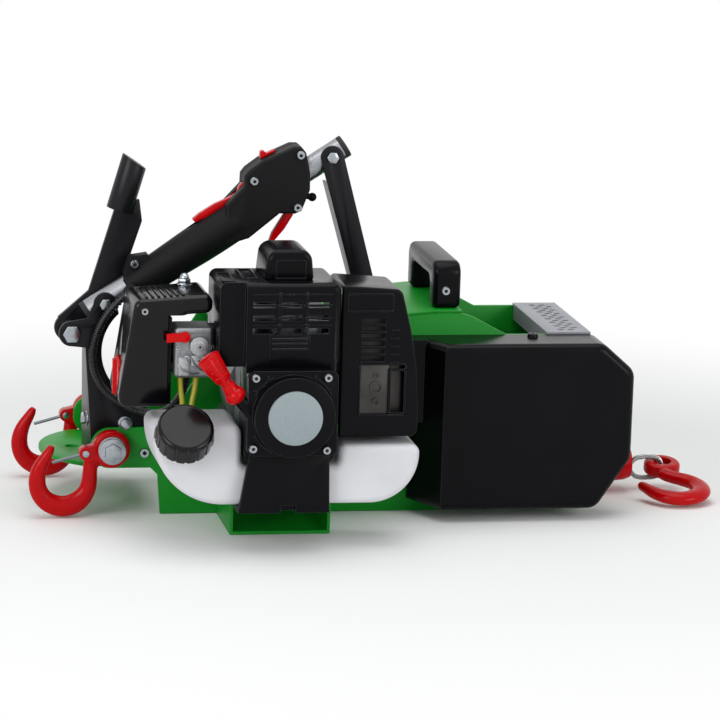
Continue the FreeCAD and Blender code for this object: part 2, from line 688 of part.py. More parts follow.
pan = pan_solid(0).cut(pan_solid(size("pan_wall"))).removeSplitter()
keep(set_shape("pan", pan), "transmission_cover")

# Rope guide: flanged trumpet on the end plate
guide_end = "frame_half + guide_long"
lead_end = f"{guide_end} - lead_inset"
ferrule_end = f"{guide_end} + ferrule_out"
eye_left = f"{guide_end} + eye_gap"
eye_right = f"{eye_left} + eye_long"
guide = turned_body("guide", [
    ("guide_bore", "0"), ("guide_base", "0"), ("guide_base", "guide_flange"),
    ("guide_mouth", "guide_long - 6"),
    ("guide_mouth - 2", "guide_long"), ("guide_bore + 1.5", "guide_long"),
    ("guide_bore", "guide_long - 6")],
    "0", "0", FreeCAD.Placement(V(size("frame_half"), 0, size("guide_z")),
                                FreeCAD.Rotation(V(0, 0, 1), -90)))
guide_plate = block("guide_plate", ("frame_half", "-guide_flange_half", "guide_z - guide_base"),
                    ("frame_half + guide_flange", "guide_flange_half",
                     "guide_z - guide_base + guide_flange_tall"))
guide_way = rod("guide_way", "X", ("frame_half - 1", "0", "guide_z"), "guide_bore", "guide_flange + 2")
keep(joined("guide_whole", [guide, minus("guide_plate_cut", guide_plate, [guide_way])]), "rope_guide")

# Bearing bushes: flanged bronze rings in the side plates
bushes = []
for number, (x, z, bore, wall, back, way) in enumerate((
        ("drum_x", "drum_z", "shaft_radius + running", "bush_wall", f"-({inner})", 1),
        ("drum_x", "drum_z", "shaft_radius + running", "bush_wall", inner, -1),
        (second_x, second_z, "lay_radius + running", "bush_wall / 2", f"-({inner})", 1),
        (pulley_x, pulley_z, "lay_radius + running", "bush_wall / 2", f"-({inner})", 1),
        ("crank_x", "crank_z", "lay_radius + running", "bush_wall / 2", f"-({inner})", 1))):
    ring = [(bore, f"({back}) - {way} * plate_thick"), (f"{bore} + {wall}",
                                                        f"({back}) - {way} * plate_thick"),
            (f"{bore} + {wall}", back), (f"{bore} + {wall} + bush_flange", back),
            (f"{bore} + {wall} + bush_flange", f"({back}) + {way} * bush_flange"),
            (bore, f"({back}) + {way} * bush_flange")]
    bushes.append(turned_body(f"bush_{number}", ring, x, z))
doc.recompute()
keep(set_shape("bushes", Part.makeCompound([bush.Shape for bush in bushes])), "bearing_bushes")

# Drum: welded hub and flanges on a shaft that runs in both side plates
drum_rear = "drum_front + drum_long"
shaft_front = f"-({outer}) - 2"
shaft_rear = f"{outer} + 2"
drum_solid = turned_body("drum_turned", [
    ("0", shaft_front), ("shaft_radius", shaft_front), ("shaft_radius", "drum_front"),
    ("flange_radius", "drum_front"), ("flange_radius", "drum_front + flange_thick"),
    ("drum_core", "drum_front + flange_thick"), ("drum_core", f"{drum_rear} - flange_thick"),
    ("flange_radius", f"{drum_rear} - flange_thick"), ("flange_radius", drum_rear),
    ("shaft_radius", drum_rear),
    ("shaft_radius", shaft_rear), ("0", shaft_rear)], "drum_x", "drum_z")
drum_hollow = turned_body("drum_inside", [
    ("shaft_radius + 4", "drum_front + drum_wall"), ("drum_core - drum_wall", "drum_front + drum_wall"),
    ("drum_core - drum_wall", f"{drum_rear} - drum_wall"), ("shaft_radius + 4",
                                                            f"{drum_rear} - drum_wall")],
    "drum_x", "drum_z")
WINDOWS = 5
ring = "(drum_core - drum_wall + shaft_radius + 4) / 2"
drum_windows = [rod(f"drum_window_{number}", "Y", (
    f"drum_x + {ring} * cos({number * 360 / WINDOWS}deg)", f"{drum_rear} - drum_wall - 1",
    f"drum_z + {ring} * sin({number * 360 / WINDOWS}deg)"), "drum_window", "drum_wall + 2")
    for number in range(WINDOWS)]
keep(minus("drum_cut", drum_solid, [drum_hollow] + drum_windows), "drum")


def gear_shape(module, teeth, bore, front, wide, turn):
    """A spur gear with involute flanks, thinned for backlash, its axis along Y through the origin."""
    pitch = module * teeth / 2
    base = pitch * math.cos(math.radians(20))
    tip, root = pitch + 0.9 * module, pitch - 1.25 * module
    involute = math.tan(math.radians(20)) - math.radians(20)
    half_tooth = math.pi / (2 * teeth) - size("backlash") / 2 / pitch + involute
    points = []
    for tooth in range(teeth):
        middle = 2 * math.pi * tooth / teeth + turn
        flank = []
        for radius in (max(base, root + 0.1), (max(base, root) + pitch) / 2, pitch, (pitch + tip) / 2,
                       tip):
            bend = math.acos(min(1, base / radius))
            flank.append((radius, half_tooth - (math.tan(bend) - bend)))
        points.append((root, middle - flank[0][1]))
        points += [(radius, middle - angle) for radius, angle in flank]
        points += [(radius, middle + angle) for radius, angle in reversed(flank)]
        points.append((root, middle + flank[0][1]))
    flat = [(radius * math.cos(angle), radius * math.sin(angle)) for radius, angle in points]
    wheel = side_solid(flat, front, front + wide)
    if bore:
        wheel = wheel.cut(round_y(0, 0, bore, front - 1, front + wide + 1))
    return wheel


def moved(shape, x, z):
    shape.translate(V(x, 0, z))
    return shape


# Drum gear bolted to the front flange, meshed with the second shaft's pinion
drum_x, drum_z = size("drum_x"), size("drum_z")
lay_x, lay_z = size(second_x), size(second_z)
belt_x, belt_z = size(pulley_x), size(pulley_z)
gear_front = size("drum_front - gear_wide")
mesh = math.radians(size("mesh_angle"))
drum_teeth, last_teeth = int(size("drum_teeth")), int(size("last_teeth"))
second_teeth, first_teeth = int(size("second_teeth")), int(size("first_teeth"))
drum_gear = gear_shape(size("coarse"), drum_teeth, size("shaft_radius"), gear_front, size("gear_wide"),
                       mesh)
keep(set_shape("drum_wheel", moved(drum_gear, drum_x, drum_z)), "drum_gear")

# Second shaft with its pinion inside the frame and the second gear inside the cover
lay = size("lay_radius")
bush_end = size(f"-({inner}) + bush_flange")
gear_layer = size(f"-({outer}) - pan_deep + pan_wall + 8")
pinion_end = gear_front + size("gear_wide")
second_shaft = round_y(0, 0, lay, gear_layer - 3, bush_end + 0.5)
pinion = gear_shape(size("coarse"), last_teeth, 0, bush_end + 0.5, pinion_end - bush_end - 0.5,
                    mesh + math.pi + math.pi / last_teeth)
keep(set_shape("lay_shaft", moved(second_shaft.fuse(pinion), lay_x, lay_z)), "second_shaft")
second_wide = 10
second_gear = gear_shape(size("fine"), second_teeth, lay, gear_layer, second_wide, math.pi)
keep(set_shape("second_wheel", moved(second_gear, lay_x, lay_z)), "second_gear")


# Belt pulleys are plain grooved wheels, so that the belt clears them all the way round
def pulley_shape(radius):
    """A flanged pulley for the belt, its axis along Y through the origin."""
    front, gap = size("belt_front"), size("belt_gap")
    groove = size("belt_wide") + 2 * gap
    rim = size("rim")
    wheel = round_y(0, 0, radius - size("belt_thick") / 2 - gap, front - gap, front - gap + groove)
    for start in (front - gap - rim, front - gap + groove):
        wheel = wheel.fuse(round_y(0, 0, radius + size("belt_thick") / 2 + 1, start, start + rim))
    return wheel.removeSplitter()


pulley_front = size("belt_front - belt_gap - rim")
pulley_back = size("belt_front + belt_wide + belt_gap + rim")
belt_wheel = pulley_shape(size("belt_large"))
belt_wheel = belt_wheel.fuse(round_y(0, 0, lay, pulley_back, bush_end + 1))
first_pinion = gear_shape(size("fine"), first_teeth, 0, gear_layer, pulley_front - gear_layer,
                          math.pi / first_teeth)
keep(set_shape("belt_wheel", moved(belt_wheel.fuse(first_pinion), belt_x, belt_z)), "belt_pulley")

# Clutch bell: a cup round the clutch, with the small belt pulley on its back
crank_x, crank_z = size("crank_x"), size("crank_z")
cup_front = size("clutch_front + clutch_wall + 3")
cup_back = pulley_front - 1
cup_wall = size("drum_clutch_wall")
bell = round_y(0, 0, size("drum_clutch"), cup_front, cup_back)
bell = bell.cut(round_y(0, 0, size("drum_clutch") - cup_wall, cup_front, cup_back - cup_wall))
bell = bell.fuse(round_y(0, 0, lay, cup_back - 1, pulley_front + 1))
bell = bell.fuse(pulley_shape(size("belt_small"))).fuse(round_y(0, 0, lay, pulley_back - 1, bush_end + 1))
keep(set_shape("clutch_cup", moved(bell.removeSplitter(), crank_x, crank_z)), "clutch_bell")


# Drive belt: one loop round both pulleys
def belt_loop(extra):
    """The outline round both pulleys at the belt's mid line plus extra."""
    small, large = size("belt_small") + extra, size("belt_large") + extra
    run, rise = belt_x - crank_x, belt_z - crank_z
    lean = math.acos((small - large) / math.hypot(run, rise))
    heading = math.atan2(rise, run)
    up, down = heading + lean, heading - lean
    at = lambda x, z, radius, angle: V(x + radius * math.cos(angle), 0, z + radius * math.sin(angle))
    edges = [Part.LineSegment(at(crank_x, crank_z, small, up), at(belt_x, belt_z, large, up)).toShape(),
             Part.Arc(at(belt_x, belt_z, large, up), at(belt_x, belt_z, large, heading),
                      at(belt_x, belt_z, large, down)).toShape(),
             Part.LineSegment(at(belt_x, belt_z, large, down),
                              at(crank_x, crank_z, small, down)).toShape(),
             Part.Arc(at(crank_x, crank_z, small, down), at(crank_x, crank_z, small, heading + math.pi),
                      at(crank_x, crank_z, small, up)).toShape()]
    return Part.Face(Part.Wire(edges))


thick = size("belt_thick") / 2
belt = belt_loop(thick).cut(belt_loop(-thick)).extrude(V(0, size("belt_wide"), 0))
belt.translate(V(0, size("belt_front"), 0))
keep(set_shape("belt", belt), "drive_belt")


# Rope winding: the outer layer on the drum, one tube along arcs
def helix_point(angle, radius, start, pitch):
    return V(drum_x + radius * math.cos(angle), start + pitch * angle / (2 * math.pi),
             drum_z + radius * math.sin(angle))


def helix_heading(angle, radius, pitch):
    heading = V(-radius * math.sin(angle), pitch / (2 * math.pi), radius * math.cos(angle))
    heading.normalize()
    return heading


def tangent_arc(start, heading, end):
    """The arc that leaves start along heading and ends at end."""
    chord = end - start
    sideways = chord - heading * chord.dot(heading)
    sideways.normalize()
    radius = chord.Length ** 2 / (2 * chord.dot(sideways))
    centre = start + sideways * radius
    middle = (start + end) * 0.5 - centre
    middle.normalize()
    return Part.Arc(start, centre + middle * radius, end).toShape()


def biarc(start, leaving, end, arriving):
    """Two tangent arcs from start to end."""
    chord = end - start
    both = leaving + arriving
    spread = 2 * (1 - leaving.dot(arriving))
    reach = (-chord.dot(both) + math.sqrt(chord.dot(both) ** 2 + spread * chord.dot(chord))) / spread
    join = (start + end + (leaving - arriving) * reach) * 0.5
    back = tangent_arc(end, arriving * -1, join)
    far = back.Curve.value((back.FirstParameter + back.LastParameter) / 2)
    return [tangent_arc(start, leaving, join), Part.Arc(join, far, end).toShape()]


rope = size("rope_radius")
wind_radius = size("drum_core + rope_radius") + 0.2
wind_pitch = size("rope_pitch")
wind_turns = int(size("rope_turns"))
wind_start = size(f"drum_front + drum_long / 2") - wind_pitch * wind_turns / 2
QUARTERS = 4
first_angle = math.pi / 2
wind_edges = []
for step in range(wind_turns * QUARTERS):
    low = first_angle + step * math.pi / 2
    high = low + math.pi / 2
    shift = wind_start - wind_pitch * first_angle / (2 * math.pi)
    wind_edges += biarc(helix_point(low, wind_radius, shift, wind_pitch),
                        helix_heading(low, wind_radius, wind_pitch),
                        helix_point(high, wind_radius, shift, wind_pitch),
                        helix_heading(high, wind_radius, wind_pitch))
entry = helix_point(first_angle, wind_radius, shift, wind_pitch)
exit_angle = first_angle + 2 * math.pi * wind_turns
leave = helix_point(exit_angle, wind_radius, shift, wind_pitch)
entry_way = helix_heading(first_angle, wind_radius, wind_pitch)
leave_way = helix_heading(exit_angle, wind_radius, wind_pitch)
wind_edges.insert(0, Part.LineSegment(entry - entry_way * 2 * rope, entry).toShape())
wind_edges.append(Part.LineSegment(leave, leave + leave_way * 2 * rope).toShape())
winding = tube_along(Part.Wire(wind_edges), rope)
samples = [helix_point(first_angle + step * math.pi / 18, wind_radius, shift, wind_pitch)
           for step in range(36 * wind_turns)]
nearest = min((samples[a] - samples[b]).Length for a in range(0, len(samples), 12)
              for b in range(a + 18, min(a + 55, len(samples))))
print(f"winding: least gap to itself {nearest - 2 * rope:.2f} mm, volume share "
      f"{winding.Volume / (math.pi * rope ** 2 * sum(edge.Length for edge in wind_edges)):.4f}")
keep(set_shape("winding", winding), "rope_winding")

# Rope end: the straight run through the guide, the pressed ferrule and the spliced eye
lead_from = V(size("lead_start"), 0, size("lead_high"))
lead_to = V(size(lead_end), 0, size("eye_z"))
run = lead_to - lead_from
rope_end = Part.makeCylinder(rope, run.Length + 4, lead_from, run)
ferrule_long = size(f"{ferrule_end} - ({lead_end})")
rope_end = rope_end.fuse(Part.makeCylinder(size("ferrule_radius"), ferrule_long, lead_to, V(1, 0, 0)))
bend, left, right, eye_z = size("eye_round"), size(eye_left), size(eye_right), size("eye_z")
eye_wire = Part.Wire([
    Part.LineSegment(V(left, 0, eye_z + bend), V(right, 0, eye_z + bend)).toShape(),
    Part.Arc(V(right, 0, eye_z + bend), V(right + bend, 0, eye_z), V(right, 0, eye_z - bend)).toShape(),
    Part.LineSegment(V(right, 0, eye_z - bend), V(left, 0, eye_z - bend)).toShape(),
    Part.Arc(V(left, 0, eye_z - bend), V(left - bend, 0, eye_z), V(left, 0, eye_z + bend)).toShape()])
rope_end = rope_end.fuse(tube_along(eye_wire, rope)).removeSplitter()
keep(set_shape("rope_lead", rope_end), "rope_end")


# Hooks: forged eye hooks, drawn flat with the eye at the origin.
# Each row gives a place along the hook, half its width and half its thickness there.
HOOK_RUN = (
    (-12, -8, 8, 5.5), (-18.5, -14, 7.5, 6), (-19.7, -24, 7, 6.2), (-20.5, -34, 7.8, 6.5),
    (-25.5, -45.5, 9, 6.5),
    (-35, -53, 10, 6.5), (-45.3, -55.2, 10, 6.5), (-56, -52.5, 9.6, 6.5), (-65, -45, 8.8, 6.5),
    (-69.2, -34, 8.2, 6.5), (-68.3, -22, 7.4, 6), (-64, -11.5, 6, 5.5), (-59.5, -4, 4.8, 5),
    (-56.5, 1.5, 3.4, 4),
    (-55.5, 3.2, 2, 2.4))


def hook_shape():
    """A hook in the XZ plane, centred on Y, its eye's centre at the origin."""
    rings = []
    for index, (x, z, half_wide, half_deep) in enumerate(HOOK_RUN):
        before, after = HOOK_RUN[max(index - 1, 0)], HOOK_RUN[min(index + 1, len(HOOK_RUN) - 1)]
        heading = V(after[0] - before[0], 0, after[1] - before[1])
        heading.normalize()
        oval = FreeCAD.Matrix(-heading.z * half_wide, 0, heading.x, x, 0, half_deep, 0, 0,
                              heading.x * half_wide, 0, heading.z, z, 0, 0, 0, 1)
        rings.append(Part.Wire(Part.makeCircle(1).transformGeometry(oval).Edges))
    body = Part.makeLoft(rings, True)
    half_thick = size("hook_thick / 2")
    eye = round_y(0, 0, size("hook_eye"), -half_thick, half_thick)
    eye = eye.makeFillet(4, [edge for edge in eye.Edges if edge.BoundBox.YLength < 0.01])
    return body.fuse(eye).cut(round_y(0, 0, size("hook_hole"), -half_thick - 1, half_thick + 1))


LATCH_PIVOT = (-24.5, -3.5)
LATCH_TIP = (-55.5, -12)
LATCH_SWING = 45
latch_rest = math.atan2(LATCH_TIP[1] - LATCH_PIVOT[1], LATCH_TIP[0] - LATCH_PIVOT[0])
latch_long = math.dist(LATCH_PIVOT, LATCH_TIP)


def from_pivot(angle, along, aside=0):
    """A place seen from the latch's pin, along a direction and to its leading side."""
    return (LATCH_PIVOT[0] + along * math.cos(angle) - aside * math.sin(angle),
            LATCH_PIVOT[1] + along * math.sin(angle) + aside * math.cos(angle))


def latch_shape():
    """A sprung sheet latch across the hook's mouth, in the hook's own place."""
    half_wide, sheet_thick = size("latch_wide / 2"), size("latch_thick")
    strip = side_solid([from_pivot(latch_rest, 0), from_pivot(latch_rest, latch_long),
                        from_pivot(latch_rest, latch_long, sheet_thick),
                        from_pivot(latch_rest, 0, sheet_thick)],
                       -half_wide, half_wide)
    hub = round_y(*LATCH_PIVOT, 4, -half_wide, half_wide)
    return strip.fuse(hub).cut(round_y(*LATCH_PIVOT, size("pin_radius + running"), -10,
                                       10)).removeSplitter()


def latch_room():
    """The slot in the hook that the latch's root turns in."""
    half_slot = size("latch_wide / 2") + 0.4
    lead = size("latch_thick") + 0.6
    last = latch_rest + math.radians(LATCH_SWING + 3)
    reach = 20
    fan = [LATCH_PIVOT, from_pivot(latch_rest, reach, -0.6)]
    fan += [from_pivot(latch_rest + part * (last - latch_rest), reach + 2, lead) for part in (0.25, 0.5,
                                                                                              0.75, 1)]
    fan.append(from_pivot(last, 0, lead))
    return round_y(*LATCH_PIVOT, 5.5, -half_slot, half_slot).fuse(side_solid(fan, -half_slot, half_slot))


hook_gap = "washer + 0.3"
hook_reach = size(f"{outer} + {hook_gap} + hook_thick / 2")
half_thick = size("hook_thick / 2")
lug = round_y(*LATCH_PIVOT, 6, -half_thick, half_thick)
root = side_solid([(-27, -9), (-27, 1.5), (-13, 5.5), (-11, -8), (-19, -14)], -half_thick, half_thick)
root = root.cut(round_y(0, 0, size("hook_hole") + 2, -half_thick - 1, half_thick + 1))
plain_hook = hook_shape()
latch_pin = round_y(*LATCH_PIVOT, size("pin_radius"), -half_thick, half_thick)
latch_hook = plain_hook.fuse([lug, root]).cut(latch_room()).fuse(latch_pin).removeSplitter()
for side, way in (("front", -1), ("rear", 1)):
    place = V(size("hook_x"), way * hook_reach, size("hook_z"))
    hook = latch_hook.copy()
    hook.translate(place)
    keep(set_shape(f"hook_{side}_forged", hook), f"hook_{side}")
    latch = latch_shape()
    latch.translate(place)
    keep(set_shape(f"latch_{side}_bent", latch), f"latch_{side}")

# Rope hook: lies flat, its eye through the rope's eye
flat_hook = plain_hook.copy()
flat_hook.rotate(V(), V(1, 0, 0), -90)
aim = math.degrees(math.atan2(size("bowl_z"), size("bowl_x")))
flat_hook.rotate(V(), V(0, 0, 1), size("rope_hook_turn") - aim)
flat_hook.rotate(V(), V(1, 0, 0), size("rope_hook_droop"))
flat_hook.translate(V(size(f"{eye_right} + hook_hole + 3"), 0, size("eye_z")))
keep(set_shape("flat_hook", flat_hook), "rope_hook")

# Handlebar tube and everything that sits along it, measured from its lower end
tilt = math.radians(size("bar_tilt"))
bar_way = V(math.cos(tilt), 0, math.sin(tilt))
bar_y = size(f"bracket_thick + bar_radius - ({inner})")
bar_low = V(size("bar_low_x"), bar_y, size("bar_low_z"))


def on_bar(distance):
    return bar_low + bar_way * distance


def bar_round(radius, start, end):
    return Part.makeCylinder(radius, end - start, on_bar(start), bar_way)


bar_radius, bar_long = size("bar_radius"), size("bar_long")
bore = size("bar_radius - bar_wall")
right_bolt, left_bolt = on_bar(size("bar_long - right_inset")), on_bar(size("left_bolt"))
bolt_radius = 3
bolt_way = 3.1
tube = bar_round(bar_radius, 0, bar_long).cut(bar_round(bore, -1, bar_long + 1))
for bolt in (right_bolt, left_bolt):
    tube = tube.cut(round_y(bolt.x, bolt.z, bolt_way, bolt.y - 20, bolt.y + 20))
keep(set_shape("bar", tube), "handlebar_tube")
cap = size("cap_thick")
caps = [bar_round(bar_radius, -cap, 0).fuse(bar_round(bore - 0.1, 0, 8)),
        bar_round(bar_radius, bar_long, bar_long + cap).fuse(bar_round(bore - 0.1, bar_long - 8,
                                                                       bar_long))]
keep(set_shape("caps", Part.makeCompound(caps)), "tube_caps")

# Right bracket: an angle bar from the top cover to the tube
bracket_front = size(f"-({inner})")
bracket_back = bracket_front + size("bracket_thick")
ear = size("ear_radius")


def cover_height(x):
    return size("shoulder_top + cover_sheet") + (x - size("shoulder_left")) * size(slope)


right_left, right_right = size("right_foot"), size("right_foot + right_wide")
lean_x, lean_z = right_bolt.x - (right_left + right_right) / 2, right_bolt.z - cover_height(right_left)
lean_long = math.hypot(lean_x, lean_z)
side_x, side_z = lean_z / lean_long, -lean_x / lean_long
right_plate = side_solid([(right_left, cover_height(right_left)),
                          (right_right, cover_height(right_right)),
                          (right_bolt.x + ear * side_x, right_bolt.z + ear * side_z),
                          (right_bolt.x - ear * side_x, right_bolt.z - ear * side_z)], bracket_front,
                          bracket_back)
right_plate = right_plate.fuse(round_y(right_bolt.x, right_bolt.z, ear, bracket_front, bracket_back))
flange = size("bracket_flange")
edge_rise = right_bolt.z - ear * side_z - cover_height(right_left)
edge_x = (right_bolt.x - ear * side_x - right_left) / edge_rise
flange_top = right_bolt.z - 26
right_flange = side_solid([(right_left, cover_height(right_left)),
                           (right_left + flange, cover_height(right_left + flange)),
                           (right_left + flange + edge_x * (flange_top - cover_height(right_left)),
                            flange_top),
                           (right_left + edge_x * (flange_top - cover_height(right_left)), flange_top)],
                          bracket_back, bracket_back + 26)
right_bracket = right_plate.fuse(right_flange).cut(
    round_y(right_bolt.x, right_bolt.z, bolt_way, bracket_front - 1, bracket_back + 1))
keep(set_shape("right_angle", right_bracket.removeSplitter()), "bracket_right")

# Left bracket: bent plate on the anchor tongue, with an ear for the tube and one for the drum lever
lever_x, lever_z = size("lever_x"), size("lever_z")
bracket_foot = size("arm_low + 1 + tongue_thick")
hollow_x, hollow_z, hollow_radius = -216, 157, 49
left_plate = side_solid([(-282, 183), (-272, bracket_foot), (-220, bracket_foot), (-220, 100),
                         (-240, 150),
                         (left_bolt.x + ear, left_bolt.z), (left_bolt.x - ear, left_bolt.z)],
                        bracket_front, bracket_back)
left_plate = left_plate.cut(round_y(hollow_x, hollow_z, hollow_radius, bracket_front - 1,
                                    bracket_back + 1))
left_plate = left_plate.fuse([
    round_y(left_bolt.x, left_bolt.z, ear, bracket_front, bracket_back),
    side_solid([(lever_x, lever_z + 12), (lever_x, lever_z - 12), (-274, 160), (-274, 190)],
               bracket_front, bracket_back),
    round_y(lever_x, lever_z, 12, bracket_front, bracket_back)])
side_sheet = [V(-282, bracket_back, 183), V(-282, bracket_back + 13, 183),
              V(-272, bracket_back + 85, bracket_foot),
              V(-272, bracket_back, bracket_foot)]
side_sheet = Part.Face(Part.makePolygon(side_sheet + side_sheet[:1])).extrude(V(flange, 0, 0))
left_plate = left_plate.fuse(side_sheet)
left_bracket = left_plate.cut(round_y(left_bolt.x, left_bolt.z, bolt_way, bracket_front - 1,
                                      bracket_back + 1))
left_bracket = left_bracket.cut(round_y(lever_x, lever_z, size("lever_pin") + 0.1, bracket_front - 1,
                                        bracket_back + 1))
left_bracket = left_bracket.cut(round_y(size("hook_x"), size("hook_z"), size("hook_hole - running") - 0.4,
                                        bracket_front - 1, bracket_back + 1))
keep(set_shape("left_bent", left_bracket.removeSplitter()), "bracket_left")

# Drum lever: flat bar behind the tube with a grip tube at its top
lever_front = bar_y + size("bar_radius + lever_gap")
lever_back = lever_front + size("lever_thick")
lever_bar = side_solid([(lever_x - 10, lever_z + 10), (-274.7, 209.5), (-252.5, 284), (-250, 292),
                        (-228, 297),
                        (-225.1, 276.4), (-242.3, 223.2), (-243, 206), (lever_x + 9, lever_z - 11)],
                       lever_front, lever_back)
lever_bar = lever_bar.fuse(round_y(lever_x, lever_z, size("lever_boss"), lever_front, lever_back))
grip_middle = (lever_front + lever_back) / 2
grip_low, grip_way = V(-246.7, grip_middle, 286.4), V(0.276, 0, 0.961)
lever_grip = Part.makeCylinder(size("lever_grip"), 66, grip_low, grip_way)
slant = side_solid([(-260, 351.3), (-210, 317.9), (-210, 372), (-260, 372)], grip_middle - 20,
                   grip_middle + 20)
lever_grip = lever_grip.cut(slant)
lever = lever_bar.fuse(lever_grip).cut(
    round_y(lever_x, lever_z, size("lever_pin + running"), lever_front - 1, lever_back + 1))
keep(set_shape("lever", lever.removeSplitter()), "drum_lever")

# Throttle grip: two moulded halves clamped round the tube, split along their middle
head_half = size("head_half")
head_shift = bar_way * (bar_long - size("head_reach"))


def with_head(points):
    """Places on the control head, which moves with the tube's upper end."""
    return [(x + head_shift.x, z + head_shift.z) for x, z in points]


head_points = with_head([(-150, 258), (-127.5, 265), (-115, 275.3), (-104.2, 284.1), (-98.9, 288.6),
                         (-84.3, 288.3),
                         (-77.9, 291.1), (-73.7, 302), (-70.3, 311.1), (-70.6, 327.5), (-75, 346.6),
                         (-79.7, 352.2),
                         (-87, 352.3), (-116, 339), (-129.2, 329.2), (-133.2, 323.8), (-133.5, 314),
                         (-150, 296)])
head = side_solid(head_points, bar_y - head_half, bar_y + head_half)
long_edges = [edge for edge in head.Edges if edge.BoundBox.YLength < 0.01]
head = head.makeFillet(3, long_edges)
switch_slope = (352.3 - 339) / (116 - 87)
switch_left, switch_right, switch_travel = -117, -103, 6


def head_top(x, lift=0):
    return with_head([(x, 339 + (x + 116) * switch_slope + lift)])[0]


switch_slot = side_solid([head_top(switch_left + 4.5, 1), head_top(switch_left + 4.5, -5),
                          head_top(switch_left + 10.5 + switch_travel, -5),
                          head_top(switch_left + 10.5 + switch_travel, 1)], bar_y - 1.9, bar_y + 1.9)
head = head.cut(switch_slot)
grip_start, grip_end = size("grip_start"), size("bar_long - grip_short")
grip_radius = size("grip_radius")
grip_side = V(math.sin(tilt), 0, -math.cos(tilt)) * size("grip_drop")
GRIP_RUN = ((0, 0.71), (0.065, 0.79), (0.31, 0.9), (0.55, 0.97), (0.8, 1), (1, 0.97))
grip_line = [on_bar(grip_start + share * (grip_end - grip_start)) + grip_side + V(0, part * grip_radius,
                                                                                  0)
             for share, part in GRIP_RUN]
grip_curve = Part.BSplineCurve()
grip_curve.interpolate(grip_line)
grip_ends = [on_bar(grip_start) + grip_side, on_bar(grip_end) + grip_side]
grip_profile = Part.Face(Part.Wire([
    grip_curve.toShape(), Part.LineSegment(grip_line[-1], grip_ends[1]).toShape(),
    Part.LineSegment(grip_ends[1], grip_ends[0]).toShape(), Part.LineSegment(grip_ends[0],
                                                                             grip_line[0]).toShape()]))
handle = grip_profile.revolve(grip_ends[0], bar_way, 360)
clamp = side_solid([(-243, 222), (-244.3, 230.4), (-239.1, 245.9), (-222, 248.6), (-216, 240),
                    (-226, 226)],
                   bar_y - 7, bar_y + 7)
handle = handle.fuse(clamp)
BOLT_HEAD = 4
conduit_y = bracket_front - BOLT_HEAD - size("conduit_radius") - 0.5
CONDUIT_START = (-243, conduit_y, 214)
spigot_way = V(15, 0, 14)
spigot_way.normalize()
spigot = Part.makeCylinder(size("conduit_radius") + 1.5, 10, V(*CONDUIT_START), spigot_way)
web_side = V(-spigot_way.z, 0, spigot_way.x) * 3.5
web_low, web_high = V(*CONDUIT_START) + spigot_way * 2, V(*CONDUIT_START) + spigot_way * 10
web = side_solid([(point.x, point.z) for point in (web_low - web_side, web_high - web_side,
                                                   web_high + web_side,
                                                   web_low + web_side)], conduit_y, bar_y)
grip = handle.fuse([head, spigot, web])
grip = grip.cut(bar_round(bar_radius + 0.1, 0, bar_long))
trigger_x, trigger_z = with_head([(size("trigger_x"), size("trigger_z"))])[0]
lock_x, lock_z = with_head([(size("lock_x"), size("lock_z"))])[0]
hub = size("hub_radius")
half_trigger = size("trigger_thick / 2")
room = half_trigger + 0.4


def beside(x, z, points):
    """Places given from a pivot."""
    return [(x + across, z + up) for across, up in points]


pocket = round_y(trigger_x, trigger_z, hub + 1.5, bar_y - room, bar_y + room)
pocket = pocket.fuse(side_solid(beside(trigger_x, trigger_z,
                                       [(3, -14), (6, 4), (-8, 5), (-20, -3), (-26, -16)]),
                                bar_y - room, bar_y + room))
lock_pocket = round_y(lock_x, lock_z, hub + 1.5, bar_y - room, bar_y + room)
lock_pocket = lock_pocket.fuse(side_solid(
    beside(lock_x, lock_z, [(3, -11.5), (3, 6.5), (-12, 5), (-58, -19), (-58, -41), (-42, -35.5),
                            (-27.5, -28.5),
                            (-13, -18)]), bar_y - room, bar_y + room))
grip = grip.cut(pocket).cut(lock_pocket)
pin = size("pin_radius")
grip = grip.fuse([round_y(trigger_x, trigger_z, pin, bar_y - room - 1, bar_y + room + 1),
                  round_y(lock_x, lock_z, pin, bar_y - room - 1, bar_y + room + 1)])
for name, low_y in (("front", bar_y - 60), ("rear", bar_y)):
    half_space = Part.makeBox(300, 60, 300, V(-330, low_y, 180))
    keep(set_shape(f"grip_{name}", grip.common(half_space)), f"grip_{name}_half")

# Trigger under the head, lock-out lever on the grip's back, stop switch on the head
trigger = round_y(trigger_x, trigger_z, hub, bar_y - half_trigger, bar_y + half_trigger)
trigger = trigger.fuse(side_solid(beside(trigger_x, trigger_z, [
    (-3, 3.8), (4, -2.8), (2, -11.1), (-5.9, -24.4), (-16.6, -37.2), (-22, -40.9), (-17.8, -28),
    (-7.2, -10.6)]),
    bar_y - half_trigger, bar_y + half_trigger))
trigger = trigger.cut(round_y(trigger_x, trigger_z, pin + size("running"), bar_y - 20, bar_y + 20))
keep(set_shape("trigger_moulded", trigger.removeSplitter()), "trigger")
lockout = round_y(lock_x, lock_z, hub, bar_y - half_trigger, bar_y + half_trigger)
lockout = lockout.fuse(side_solid(beside(lock_x, lock_z, [
    (-1, 4.8), (2, -4.5), (-13.2, -12.5), (-27.5, -22.5), (-40.1, -29.5), (-49.1, -34), (-52, -31.2),
    (-45.7, -25.7),
    (-31.3, -16.5), (-16.9, -10.1), (-10.6, -5.6), (-8.1, 0.8), (-5.4, 4)]),
    bar_y - half_trigger, bar_y + half_trigger))
lockout = lockout.cut(round_y(lock_x, lock_z, pin + size("running"), bar_y - 20, bar_y + 20))
keep(set_shape("lockout_moulded", lockout.removeSplitter()), "lockout_lever")
